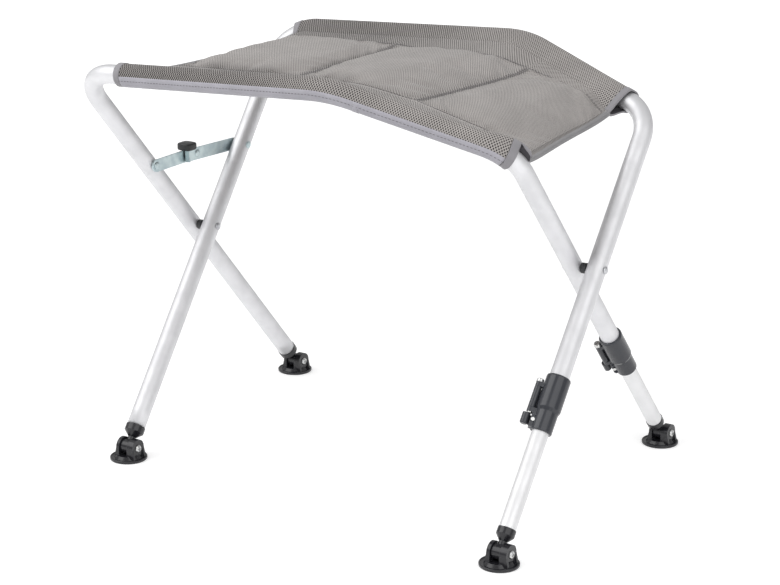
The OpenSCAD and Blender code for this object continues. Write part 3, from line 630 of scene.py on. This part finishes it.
def sleeve_outline(grow=0.0):
    """The drop from its tail's upper edge round the bar to its lower edge, grown outwards."""
    a = np.linspace(lip, 2 * np.pi - lip, ring_points)
    r = sleeve_r + grow
    ring = r * np.stack([np.cos(a), np.sin(a)], 1)
    t = np.linspace(0, 1, lip_points, endpoint=False)[:, None]
    upper = np.array([tail_reach, tail_up + grow])
    lower = np.array([tail_reach, tail_up - band_t - grow])
    return np.concatenate([upper + (ring[0] - upper) * t, ring,
                           lower + (ring[-1] - lower) * t[::-1]])


def sleeve_bore():
    """The round hole inside, one point for each point of the outline."""
    open_side = np.linspace(np.radians(3), lip, lip_points, endpoint=False)
    a = np.concatenate([open_side, np.linspace(lip, 2 * np.pi - lip, ring_points),
                        2 * np.pi - open_side[::-1]])
    return (tube_r + fabric_gap) * np.stack([np.cos(a), np.sin(a)], 1)


def bar_line(f, start, end=None, step=2.5 * MM):
    """(points, headings, distances, distances to the sleeve's far end) of the bar inside the
    sleeve, from start to end along it. A start or end below zero counts back from the far end."""
    points, headings = frame_line(f, step, np.radians(1.5))
    on_bar = (points[:, 1] > bar_reach / 3) & (points[:, 0] > sleeve_start[f])
    on_bar &= headings < sleeve_lead[f]
    on_bar &= headings > -bar_fall - (sleeve_wrap[f] + loose_wrap[f])
    points, headings = points[on_bar], headings[on_bar]
    along = lengths(points)
    far = along[-1]
    start += far if start < 0 else 0
    end = far if end is None else end + (far if end < 0 else 0)
    at = np.linspace(start, end, max(int((end - start) / step), 3) + 1)
    line = np.stack([np.interp(at, along, points[:, k]) for k in (0, 1)], 1)
    return line, np.interp(at, along, headings), at, far - at


def ease(x):
    """0 below 0, 1 above 1, and x^2 (3 - 2x) between."""
    x = np.clip(x, 0, 1)
    return x * x * (3 - 2 * x)


# %% [markdown]
# ### The loose end of the sleeve
# Past the last bend the bar turns down to the leg, but the cloth is cut straight, so it leaves
# the bar: it stands off over the tube as an arch with a dark hollow under it, its cut edge leans
# back at the top, and its inner corner is pulled down by the seat. All of it grows smoothly over
# the last few centimetres.

# %% Loosen the ends
loose_reach = 46 * MM
loose_wall = 1.1 * MM
tip_wall = 2 * MM
arch_lift = {A: 8 * MM, B: 4 * MM}
lean_back = {A: 2 * MM, B: 1 * MM}
corner_pull = {A: np.array([26, -4, -11]) * MM, B: np.array([-7, 0, -11]) * MM}


def looseness(to_end):
    """0 along the bar, easing to 1 at the sleeve's right end."""
    return ease(1 - to_end / loose_reach)


def lifted(shape):
    """How far each point of the profile follows the arch: 1 a little way towards the seat from
    the bar, easing to 0 outside the bar, at the tail's tip and all along the lower side."""
    along, up = shape.T
    rise = ease((along + 8 * MM) / (20 * MM)) * ease((tail_reach - along) / (12 * MM))
    return rise * (up > -band_t / 4)


def section(f, to_end, shape, loose_shape=None):
    """The profile's rows, one for each distance, turning into the loose shape at the loose end."""
    loose_shape = shape if loose_shape is None else loose_shape
    share = looseness(to_end)[:, None]
    rows = shape + share[..., None] * (loose_shape - shape)
    rows[..., 1] += arch_lift[f] * share * lifted(loose_shape)
    s, c = np.sin(half_open), np.cos(half_open)
    along, up = rows[..., 0], rows[..., 1]
    return np.stack([c * up - s * along, f * (c * along + s * up)], 2)


def pull(f, to_end, headings, shape, grid):
    """The drawn grid with its cut edge leaning back, stood up, and its tail pulled towards the
    seat's corner. Both belong to the loose end only."""
    share = looseness(to_end)[:, None]
    back = lean_back[f] * share * np.clip(shape[:, 1] / sleeve_r, -0.4, 1)
    grid[..., 0] -= back * np.cos(headings)[:, None]
    grid[..., 1] -= back * np.sin(headings)[:, None]
    inward = share * ease((shape[:, 0] - 4 * MM) / (20 * MM))
    return stand(f, grid) + inward[..., None] * corner_pull[f]


def sleeve_skin(f, line, grow=0.0, bore_grow=1.0):
    """(grid, flat map) of a hollow stretch of sleeve. At the loose end the bore is a drop too,
    set one wall inside the outline."""
    points, headings, at, to_end = line
    outer, bore = sleeve_outline(grow), sleeve_bore() * bore_grow
    loose = sleeve_outline() * [[(tail_reach - tip_wall) / tail_reach, 1]]
    ring = loose[:, 0] < sleeve_r * np.cos(lip) + 1e-9
    loose[ring] = bore[ring]
    loose[~ring, 1] -= np.sign(loose[~ring, 1] + band_t / 3) * loose_wall
    flat, uv = walled(points, headings, section(f, to_end, outer),
                      section(f, to_end, bore, loose), at[0])
    rows = len(at)
    return np.concatenate([pull(f, to_end, headings, outer, flat[:rows]),
                           pull(f, to_end[::-1], headings[::-1], loose, flat[rows:])]), uv


def laid(f, line, profile):
    """The points of a profile laid along the bar, following the sleeve."""
    points, headings, _, to_end = line
    return stand(f, carry(points, headings, section(f, to_end, profile)))


def shade_inside(piece):
    """The inner half of a sleeve's rows takes the painted shade of its inside."""
    faces = len(piece.data.polygons)
    piece.data.materials.append(inner_shade_cloth)
    inner = (np.arange(faces) >= faces // 2).astype(np.int32)
    piece.data.polygons.foreach_set("material_index", inner)


# %% Make the sleeves
binding_w = 8 * MM
under_tape = binding_w - 1 * MM
frames = ((A, "front_sleeve", "frame_a"), (B, "rear_sleeve", "frame_b"))
for f, node, carrier in frames:
    grid, uv = sleeve_skin(f, bar_line(f, under_tape, -under_tape))
    piece = grid_mesh(node + "_cloth", grid, uv, closed_run=True)
    finish_piece(piece, sleeve_cloth)
    shade_inside(piece)
    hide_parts(node)
    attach(piece, carrier)

# %% [markdown]
# ## Tape round the sleeve
# A smooth woven tape binds each cut end of a sleeve, and a wider one is sewn flat along the
# lower outside of the bar as a hem. Both are thin bands that lie on the sleeve, so they are made
# from the sleeve's own profile, grown by the thickness of the tape.

# %% Bind the sleeve ends
tape_t = 0.7 * MM
for f, node, carrier in frames:
    for end, span in (("left", (0.0, binding_w)), ("right", (-binding_w, None))):
        grid, uv = sleeve_skin(f, bar_line(f, *span, step=1.4 * MM), tape_t, 1.02)
        piece = grid_mesh(f"{node}_binding_{end}", grid, uv, closed_run=True)
        finish_piece(piece, binding_cloth)
        shade_inside(piece)
        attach(piece, carrier)


# %% Sew the hem under the bars
hem_t = 0.8 * MM
hem_angles, lap_angles = (178, 296), (180, 290)
lap_from, lap_to = 319 * MM, 326 * MM


def band_profile(first, last, thick, columns=40):
    """A flat band round the sleeve between two angles in degrees, thinning to its edges."""
    a = np.radians(np.linspace(first, last, columns))
    lift = np.sin(np.linspace(0, np.pi, columns)) ** 0.25 * thick
    over = (sleeve_r + 0.05 * MM + lift)[:, None] * np.stack([np.cos(a), np.sin(a)], 1)
    under = (sleeve_r - 0.4 * MM) * np.stack([np.cos(a), np.sin(a)], 1)
    return np.concatenate([over, under[::-1]])


def band(name, f, start, end, first, last, thick):
    line = bar_line(f, start, end)
    profile = band_profile(first, last, thick)
    return grid_mesh(name, laid(f, line, profile), flat_map(line[2], round_length(profile)))


for f, node, carrier in frames:
    hem = band(node + "_hem", f, binding_w, -binding_w, *hem_angles, hem_t)
    finish_piece(hem, hem_cloth)
    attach(hem, carrier)
lap = band("front_sleeve_hem_lap", A, lap_from, lap_to, *lap_angles, hem_t + 0.4 * MM)
finish_piece(lap, hem_cloth)
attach(lap, "frame_a")


# %% [markdown]
# ### Stitches
# A lockstitch shows as a row of short threads with a small gap between them. One stitch is a
# capsule, and the row is that capsule set down many times by whole arrays.

# %% A row of stitches
def capsule(long, wide, rings=5, sides=6):
    """Points (rings, sides, 3) of a thread that tapers at both ends, lying along x."""
    t = np.linspace(0, 1, rings)[:, None]
    a = np.linspace(0, 2 * np.pi, sides, endpoint=False)[None, :]
    r = wide / 2 * (0.25 + 0.75 * np.sin(np.pi * t) ** 0.6)
    return np.stack([(t - 0.5) * long + 0 * a, r * np.cos(a), r * np.sin(a)], 2)


def stitch_row(name, places, headings, ups, long=3.0 * MM, wide=0.8 * MM):
    """Stitches with their middles at places, along headings, with ups out of the cloth."""
    axes = np.stack([headings, unit(np.cross(ups, headings)), ups], 1)
    one = capsule(long, wide)
    rings, sides = one.shape[:2]
    points = places[:, None, None] + np.einsum("rsk,nkj->nrsj", one, axes)
    r, c = quad_corners(rings - 1, sides)
    ends = np.arange(sides) + np.array([[0], [(rings - 1) * sides]])
    first = np.arange(len(places))[:, None, None] * rings * sides
    faces = (first + r * sides + c % sides).reshape(-1, 4).tolist()
    faces += (first + ends).reshape(-1, sides).tolist()
    return piece_of(name, points, faces)


# %% Stitch the hem
stitch_turn = np.radians(200)
spot = np.array([[np.cos(stitch_turn), np.sin(stitch_turn)]]) * (sleeve_r + hem_t)
for f, node, carrier in frames:
    line = bar_line(f, binding_w, -binding_w, step=4.2 * MM)
    row, centre = [laid(f, line, shape)[:, 0] for shape in (spot, spot * 0)]
    piece = stitch_row(node + "_hem_stitches", row, unit(np.gradient(row, axis=0)),
                       unit(row - centre))
    finish_piece(piece, sewing_thread)
    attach(piece, carrier)

# %% [markdown]
# ## The seat
# The panel between the sleeves is foam between two layers of mesh, quilted into three pads by
# two sewn channels, with a flat band left in front. Its surface is a function of two parameters:
# one runs along the bars, the other from the front tail to the rear tail. It is first drawn a
# little slack, then blown up as cloth with its seams held, so that it puckers where it is sewn.
# Its long edges run a few millimetres into the tails, thinned, as they do in a sewn seam.

# %% The seat's surface
sags = np.array([5, 10, 12, 5]) * MM
crown = 7 * MM
pad_t = 12 * MM
draw_left, draw_right = 2 * MM, 6 * MM
front_bands, front_bow = np.array([66, 74, 62, 24]) * MM, 16 * MM
rear_bands, rear_bow = np.array([20, 27, 27, 10]) * MM, 16 * MM
seam_tuck, seam_thin = 3 * MM, 0.8 * MM
channel_w = 5 * MM
left_end = left_corner[0] + corner_r * np.tan((np.pi / 2 + splay) / 2)
mid_start = bar_bend_x - bend_r * np.tan(bar_fall / 2)
mid_end = mid_start + bend_r * np.sin(bar_fall)
right_turn = np.pi / 2 + splay - bar_fall
right_start = right_corner[0] - corner_r * np.tan(right_turn / 2) * np.cos(bar_fall)
right_start_height = bar_reach - slope * (right_start - bar_bend_x)
right_centre_x = right_start - corner_r * np.sin(bar_fall)


def bar_turn(u):
    """How far the bar's direction has turned to the right at u."""
    return np.select([u < left_end, u < mid_start, u < mid_end, u < right_start], [
        np.arcsin(np.clip((u - left_end) / corner_r, -1, 1)), 0 * u,
        np.arcsin(np.clip((u - mid_start) / bend_r, -1, 1)), bar_fall + 0 * u],
        np.arcsin(np.clip((u - right_centre_x) / corner_r, -1, 1)))


def bar_height(u):
    """The bar's middle line over the pivots, measured up the leaning frame."""
    turned = bar_turn(u)
    return np.select([u < left_end, u < mid_end, u < right_start], [
        bar_reach - corner_r * (1 - np.cos(turned)), bar_reach - bend_r * (1 - np.cos(turned)),
        bar_reach - slope * (u - bar_bend_x)],
        right_start_height - corner_r * (np.cos(bar_fall) - np.cos(turned)))


def tail_line(f, u):
    """The tips of the sleeve's tail at the places u along the bar."""
    turned = bar_turn(u)
    out = np.stack([np.sin(turned), np.cos(turned), 0 * u], 1)
    reach = -np.sin(half_open) * out + [0, 0, f * np.cos(half_open)]
    return stand(f, np.stack([u, bar_height(u), 0 * u], 1) + tail_reach * reach)


front_knots = np.array([sleeve_start[A], -33 * MM, 130 * MM,
                        right_centre_x + corner_r * np.sin(bar_fall + sleeve_wrap[A])])
rear_knots = np.array([left_end - corner_r * np.sin(sleeve_lead[B]), -70 * MM, 131 * MM,
                       right_centre_x + corner_r * np.sin(bar_fall + sleeve_wrap[B])])
a_knots = np.arange(4)
edge_margin = 6 * MM
corner_from = 3 - loose_reach / (125 * MM)
pad_widths = (np.diff(front_knots) + np.diff(rear_knots)) / 2


def seat_middle(a, t):
    """The panel's middle at a from 0 to 3 along the pads and t from 0 to 1 across, one row of t
    for each a: straight from tail to tail, sagging by 1 - (2t - 1)^4 and drawn in at the sides
    by 1 - (2t - 1)^2. The right corners follow the sleeves' pulled tails."""
    front = tail_line(A, np.interp(a, a_knots, front_knots))
    rear = tail_line(B, np.interp(a, a_knots, rear_knots))
    tt = np.broadcast_to(t, (len(a), np.shape(t)[-1]))
    aa = np.broadcast_to(a[:, None], tt.shape)
    grid = front[:, None] + (rear - front)[:, None] * tt[..., None]
    drawn = draw_left + (-draw_right - draw_left) * aa / 3
    between = np.clip(tt, 0, 1)
    grid[..., 0] += drawn * (1 - (2 * between - 1) ** 2)
    grid[..., 2] -= np.interp(aa, a_knots, sags) * (1 - (2 * between - 1) ** 4)
    for f, nearness in ((A, 1 - between), (B, between)):
        share = ease((aa - corner_from) / (3 - corner_from)) * nearness
        grid += share[..., None] * corner_pull[f]
    return grid


front_tip, rear_tip = seat_middle(np.array([1.5]), np.array([0.0, 1.0]))[0]
seat_span = np.linalg.norm(rear_tip - front_tip)
print("seat span in mm", round(seat_span / MM, 1))

# %% [markdown]
# ### Where the pads begin and end
# Each pad fills a cell between two channels. Both long seams bow towards the front between the
# channels, and the front one comes close to its bar at the right end.

# %% Lay out the cells
half_channel = channel_w / 2 / pad_widths.mean()
cell_from = np.array([edge_margin / pad_widths[0], 1 + half_channel, 2 + half_channel])
cell_to = np.array([1 - half_channel, 2 - half_channel, 3 - edge_margin / pad_widths[2]])


def pad_start(a):
    """Where the pads' front seam lies across the seat: bowed by sin(pi x^2) in the middle cell."""
    bow = front_bow * np.sin(np.pi * np.clip(a - 1, 0, 1) ** 2)
    return (np.interp(a, a_knots, front_bands) - bow) / seat_span


def pad_end(a):
    """Where the pads' rear seam lies across the seat: bowed by sin(pi x) in the middle cell."""
    bow = rear_bow * np.sin(np.pi * np.clip(a - 1, 0, 1))
    return 1 - (np.interp(a, a_knots, rear_bands) + bow) / seat_span


def crowded(start, end, count):
    """Values from start to end that crowd towards both: s/3 + (1 - cos(pi s))/3 of the way."""
    s = np.linspace(0, 1, count)
    return start + (end - start) * (s + 1 - np.cos(np.pi * s)) / 3


def across_cell(a, t):
    """(w, s) in the cell, each 0 at its first seam and 1 at its last, for a grid of t."""
    cell = np.clip(np.floor(a), 0, 2).astype(int)
    w = np.clip((a - cell_from[cell]) / (cell_to[cell] - cell_from[cell]), 0, 1)
    start, end = pad_start(a)[:, None], pad_end(a)[:, None]
    s = np.clip((t - start) / (end - start), 0, 1)
    return np.broadcast_to(w[:, None], s.shape), s


def fullness(a, t, end_power):
    """0 on the seams and 1 in the middle of a pad: sqrt(4w(1 - w)) (4s(1 - s))^q."""
    w, s = across_cell(a, t)
    return (4 * w * (1 - w)) ** 0.5 * (4 * s * (1 - s)) ** end_power


def fineness(a, t):
    """1 where the fine mesh of the pads shows, easing to 0 over 24 mm behind the front seam,
    10 mm beside a channel and 3 mm before the rear seam."""
    w, s = across_cell(a, t)
    long = (pad_end(a) - pad_start(a))[:, None] * seat_span
    wide = pad_widths.mean()
    return np.minimum.reduce([ease(s * long / (24 * MM)), ease((1 - s) * long / (3 * MM)),
                              ease(w * wide / (10 * MM)), ease((1 - w) * wide / (10 * MM))])


def seam_shade_mask(a, t):
    """1 along the edges of the cells, where shade is painted on the cloth, and 0 elsewhere."""
    w, s = across_cell(a, t)
    inside = (s > 0) & (s < 1) & (w > 0) & (w < 1)
    edge = np.zeros(s.shape)
    edge[:, 1:-1] = (inside[:, 2:] | inside[:, :-2]) & ~inside[:, 1:-1]
    edge[1:-1] = np.maximum(edge[1:-1], (inside[2:] | inside[:-2]) & ~inside[1:-1])
    return edge


def seat_rings(a, t, puff, end_power):
    """The top from front to rear and the underside back again, as one ring of points."""
    top = seat_middle(a, t)
    under = top.copy()
    full = fullness(a, t, end_power) * puff
    thinner = seam_thin * ((t < 0) | (t > 1))
    top[..., 2] += tail_up + crown * full - thinner
    under[..., 2] += tail_up - band_t - (pad_t - band_t - crown) * full + thinner
    return np.concatenate([top, under[:, ::-1]], 1)


def top_and_under(mask):
    """One value for each point of the seat's rings, the same on the top and the underside."""
    return np.concatenate([mask, mask[:, ::-1]], 1).ravel()


# %% Draw the slack seat
cell_columns, front_rows, pad_rows, rear_rows = 40, 12, 50, 8
a_line = np.concatenate([[0], *(crowded(cell_from[k], cell_to[k], cell_columns) for k in range(3)),
                         [3]])
inside_tail = seam_tuck / seat_span
t_rows = np.stack([np.concatenate([[-inside_tail], np.linspace(0, start, front_rows, endpoint=False),
                                   crowded(start, end, pad_rows),
                                   np.linspace(end, 1, rear_rows)[1:], [1 + inside_tail]])
                   for start, end in zip(pad_start(a_line), pad_end(a_line))])
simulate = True
puff, end_power = (0.6, 0.4) if simulate else (1.0, 0.35)
ring = seat_rings(a_line, t_rows, puff, end_power)
rows, cols = ring.shape[:2]
n_t = cols // 2
width_map = lengths(seat_middle(a_line, np.array([0.5]))[:, 0])
from_seam = t_rows - pad_start(a_line)[:, None]
under_map, map_end = 2.01, 2.5
span_map = np.concatenate([from_seam, under_map - from_seam[:, ::-1], 0 * t_rows[:, :1] + map_end],
                          1) * seat_span
seat_map = np.stack([np.broadcast_to(width_map[:, None], span_map.shape), span_map], -1)
side_faces = [[r * cols + j, r * cols + j + 1, r * cols + cols - 2 - j, r * cols + cols - 1 - j]
              for r in (0, rows - 1) for j in range(n_t - 1)]
seat = grid_mesh("seat_pads", ring, seat_map, more_faces=side_faces)
finish_piece(seat, seat_cloth)
# The fine mesh's mask, and the mask of the pads' edges that takes the painted shade.
for label, mask in (("fine", fineness(a_line, t_rows)), ("crease", seam_shade_mask(a_line, t_rows))):
    values = seat.data.attributes.new(label, "FLOAT", "POINT").data
    values.foreach_set("value", top_and_under(mask))
edge_points = np.zeros(len(seat.data.edges) * 2, int)
seat.data.edges.foreach_get("vertices", edge_points)
borders = [0, 1, n_t - 2, n_t - 1, n_t, n_t + 1, cols - 2, cols - 1]
on_border = np.isin(edge_points % cols, borders).reshape(-1, 2).all(1)
hard = seat.data.attributes.new("crease_edge", "FLOAT", "EDGE")
hard.data.foreach_set("value", on_border.astype(np.float32))

# %% [markdown]
# ### Blow up the pads
# The seams, the flat bands and the edges are pinned, and a light pressure fills the cloth in
# between, which grows by three percent so that it has something to wrinkle with. No point may end
# more than a few millimetres from where it was drawn, so the pads keep their drawn outline.

# %% Simulate the pads as cloth
pinned = top_and_under(fullness(a_line, t_rows, 0.5)) < 1e-3
cap_move = 6 * MM
last_frame = 20
if simulate:
    held = seat.vertex_groups.new(name="sewn")
    held.add(np.flatnonzero(pinned).tolist(), 1.0, "REPLACE")
    cloth = seat.modifiers.new("cloth", "CLOTH")
    cloth.settings.quality = 6
    cloth.settings.mass = 0.25
    cloth.settings.tension_stiffness = cloth.settings.compression_stiffness = 18
    cloth.settings.shear_stiffness = 6
    cloth.settings.bending_stiffness = 0.4
    cloth.settings.shrink_min = -0.03
    cloth.settings.use_pressure = True
    cloth.settings.uniform_pressure_force = 9
    cloth.settings.vertex_group_mass = "sewn"
    cloth.settings.effector_weights.gravity = 0
    cloth.collision_settings.use_collision = False
    for number in range(1, last_frame + 1):
        bpy.context.scene.frame_set(number)
    solved = seat.evaluated_get(bpy.context.evaluated_depsgraph_get()).to_mesh()
    moved = np.zeros(len(seat.data.vertices) * 3)
    solved.vertices.foreach_get("co", moved)
    moved = moved.reshape(-1, 3) - ring.reshape(-1, 3)
    print("largest move in mm", round(np.abs(moved).max() / MM, 2), "typical",
          round(float(np.abs(moved[~pinned]).mean()) / MM, 2))
    size = np.linalg.norm(moved, axis=1, keepdims=True)
    moved *= np.minimum(1, cap_move / np.maximum(size, 1e-9))
    seat.modifiers.remove(cloth)
    seat.vertex_groups.clear()
    seat.data.vertices.foreach_set("co", (ring.reshape(-1, 3) + moved).ravel())
    bpy.context.scene.frame_set(1)

# %% Round the cloth off and set it between the frames
smooth = seat.modifiers.new("smooth", "SUBSURF")
smooth.levels = smooth.render_levels = 1
smooth.uv_smooth = "NONE"
rounded = bpy.data.meshes.new_from_object(seat.evaluated_get(bpy.context.evaluated_depsgraph_get()))
seat.modifiers.clear()
seat.data = rounded
rounded.name = "seat_pads"
rounded.shade_smooth()
print("seat faces", len(rounded.polygons))
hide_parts("seat_panel")
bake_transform(seat)

# %% [markdown]
# ### Seams and bound sides
# Two rows of stitching hold each channel and one row each long seam of the pads. The cut sides
# of the seat are bound with the same narrow tape as the sleeves. Threads and tapes are laid on
# the finished cloth, so each place is dropped straight down on to it.

# %% Find the cloth's surface
surface = BVHTree.FromPolygons([tuple(v.co) for v in rounded.vertices],
                               [tuple(q.vertices) for q in rounded.polygons])


def drop(places):
    """Places moved straight down on to the top of the seat, and the cloth's normal there."""
    landed, normals = [], []
    for x, y, z in places:
        spot, normal, _, _ = surface.ray_cast(Vector((x, y, z + 0.05)), Vector((0, 0, -1)))
        landed.append(spot if spot is not None else (x, y, z))
        normals.append(normal if normal is not None and normal.z > 0 else (0, 0, 1))
    return np.array(landed), np.array(normals)


def seam(name, a, t, spacing=4.4 * MM):
    """A row of stitches over the line of surface parameters a and t, evenly spaced."""
    path = seat_middle(a, t[:, None])[:, 0]
    along = lengths(path)
    at = np.arange(spacing, along[-1] - spacing / 2, spacing)
    places = np.stack([np.interp(at, along, path[:, k]) for k in range(3)], 1)
    landed, normals = drop(places)
    heading = unit(np.gradient(landed, axis=0))
    up = unit(normals - (normals * heading).sum(1, keepdims=True) * heading)
    piece = stitch_row(name, landed + up * 0.15 * MM, heading, up)
    finish_piece(piece, sewing_thread)
    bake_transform(piece)


# %% Sew the seams
along_bar = np.linspace(0.02, 2.98, 200)
beside = 2 * MM / seat_span
for k, line in ((1, "left"), (2, "right")):
    across = np.linspace(pad_start(k), pad_end(k), 60)
    for letter, side in (("a", -1), ("b", 1)):
        seam(f"seam_{line}_{letter}", np.full(60, k + side * half_channel / 2), across)
seam("seam_front", along_bar, pad_start(along_bar) - beside)
seam("seam_rear", along_bar, pad_end(along_bar) + beside)


# %% Bind the sides
edge_middle, edge_half = 2.6 * MM, 4.6 * MM


def side_binding(name, a_edge, inward, swell, rows=90, sides=28):
    """A flat tape folded over the seat's cut side: a long rounded loop, edge_half to each side
    of edge_middle, carried along it."""
    path = seat_middle(np.array([a_edge]), np.linspace(0, 1, rows))[0]
    path[:, 2] += tail_up - band_t / 2
    heading = unit(np.gradient(path, axis=0))
    inside = unit(np.cross([0, 0, 1.0], heading)) * inward
    up = np.cross(heading, inside) * inward
    up *= np.sign(up[:, 2:])
    a = np.linspace(0, 2 * np.pi, sides, endpoint=False)
    wide = edge_middle + edge_half * np.sign(np.cos(a)) * np.abs(np.cos(a)) ** 0.7
    high = (band_t / 2 + swell) * np.sign(np.sin(a)) * np.abs(np.sin(a)) ** 0.6
    grid = path[:, None] + wide[None, :, None] * inside[:, None] + high[None, :, None] * up[:, None]
    across = lengths(np.stack([wide, high], 1))
    uv = flat_map(lengths(path), np.concatenate([across, [across[-1] + 1 * MM]]))
    piece = grid_mesh(name, grid, uv)
    finish_piece(piece, edge_cloth)
    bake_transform(piece)


side_binding("side_binding_left", 0.0, -1, 0.5 * MM)
side_binding("side_binding_right", 3.0, 1, 1.5 * MM)

# %% [markdown]
# ## The thumb grip
# The moulded grip on the brace is a soft pillow of a block, a little wider than its CAD solid.
# Each level of it is a rounded rectangle, |x|^n + |y|^n = 1, that draws in towards top and foot.

# %% Mould the grip
grip_low, grip_high = (np.array(c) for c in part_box("brace_grip"))
middle, half = (grip_low + grip_high) / 2, (grip_high - grip_low) / 2
half += np.array([2.0, 2.5, 0.0]) * MM
levels, sides = 25, 72
level = np.linspace(-1, 1, levels)[:, None]
shrink = (1 - np.abs(level) ** 5) ** 0.2 * 0.75 + 0.25
turn = np.linspace(0, 2 * np.pi, sides, endpoint=False)[None, :]
pillow = [np.sign(q) * np.abs(q) ** 0.45 for q in (np.cos(turn), np.sin(turn))]
grid = middle + half * np.stack([shrink * pillow[0], shrink * pillow[1], level + 0 * turn], 2)
grip_map = flat_map(level[:, 0] * half[2], np.arange(sides + 1) * MM)
grip = grid_mesh("brace_grip_moulded", grid, grip_map)
finish_piece(grip, grip_black)
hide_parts("brace_grip")
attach(grip, "brace_b")

# %% [markdown]
# ## Dress the CAD pieces
# Clamps, caps, feet, rivets and the brace keep their exact CAD meshes. Each only gets the
# material of its slot.

# %% Give each slot its material
slot_material = {
    "frame_tube": tube_metal, "inner_tube": inner_metal, "clamp_plastic": clamp_black,
    "foot_plastic": foot_black, "bright_screws": screws, "dark_rivets": rivets,
    "spacer_plastic": spacer_black, "grip_plastic": grip_black, "zinc_plate": zinc,
    "sleeve_mesh": sleeve_cloth, "seat_mesh": seat_cloth}
for node in frame["nodes"].values():
    for held in node.material_slots:
        held.material = slot_material[held.material.name.split(".")[0]]
print("dressed", len(frame["nodes"]), "CAD nodes")

# %% [markdown]
# ## Floor, light and camera
# The photograph is cut out on white. The floor is a wide white sheet that still takes the
# object's shadow: it is lit as plain white paper, and seen straight it also glows a little, more
# so beyond the lamps' reach, so that it is white all over. Two large soft boxes and a bright
# room give the even light. The camera's place and lens are fitted to the edges in the photograph.

# %% Lay the floor
floor_mesh = bpy.data.meshes.new("floor")
half_floor = 8
floor_corners = np.array([(-1, -1, 0), (1, -1, 0), (1, 1, 0), (-1, 1, 0)]) * half_floor
floor_mesh.from_pydata(floor_corners.tolist(), [], [(0, 1, 2, 3)])
floor = bpy.data.objects.new("floor", floor_mesh)
bpy.context.scene.collection.objects.link(floor)
paper, tree, shader = material("floor_paper", Base_Color=(0.8, 0.8, 0.8, 1), Roughness=0.9,
                               Specular_IOR_Level=0.1)
path = add(tree, "ShaderNodeLightPath").outputs
seen = maths(tree, "MAXIMUM", path["Is Camera Ray"],
             maths(tree, "MAXIMUM", path["Is Glossy Ray"], path["Is Transmission Ray"]))
shader.inputs["Emission Color"].default_value = (1, 1, 1, 1)
from_middle = vector_maths(tree, "LENGTH", own_place(tree), out="Value")
glow = ramp(tree, from_middle, 0.8, 3.0, 0.45, 0.68)
tree.links.new(maths(tree, "MULTIPLY", seen, glow), shader.inputs["Emission Strength"])
floor_mesh.materials.append(paper)

# %% Light the room
world = bpy.data.worlds.new("studio")
bpy.context.scene.world = world
world.use_nodes = True
tree = world.node_tree
seen = add(tree, "ShaderNodeLightPath").outputs["Is Camera Ray"]
tree.nodes["Background"].inputs["Color"].default_value = (1, 1, 1, 1)
heading = add(tree, "ShaderNodeSeparateXYZ",
              {"Vector": add(tree, "ShaderNodeTexCoord").outputs["Generated"]}).outputs["Z"]
room = ramp(tree, heading, -0.1, 0.9, 0.46, 0.66)
tree.links.new(mixed(tree, seen, room, 1.0, "FLOAT"), tree.nodes["Background"].inputs["Strength"])


def soft_box(name, place_at, watts, size=2.6, aim=Vector((0, 0, 0.3))):
    """A square lamp that faces the point aim."""
    data = bpy.data.lights.new(name, "AREA")
    data.shape, data.size, data.energy = "SQUARE", size, watts
    lamp = bpy.data.objects.new(name, data)
    bpy.context.scene.collection.objects.link(lamp)
    lamp.location = place_at
    lamp.rotation_euler = (aim - lamp.location).to_track_quat("-Z", "Y").to_euler()


soft_box("key", (-1.6, -1.6, 2.2), 42)
soft_box("fill", (2.2, -1.2, 1.6), 26)

# %% Stand at the photographer's place
camera_data = bpy.data.cameras.new("camera")
camera_data.lens = 104.55
camera_data.sensor_width = 36
camera = bpy.data.objects.new("camera", camera_data)
bpy.context.scene.collection.objects.link(camera)
camera.location = np.array([1407.449, -2107.575, 957.504]) * MM
camera.rotation_euler = np.radians([73.318, -0.167, 33.627])
bpy.context.scene.camera = camera
bpy.context.scene.view_settings.view_transform = "Standard"
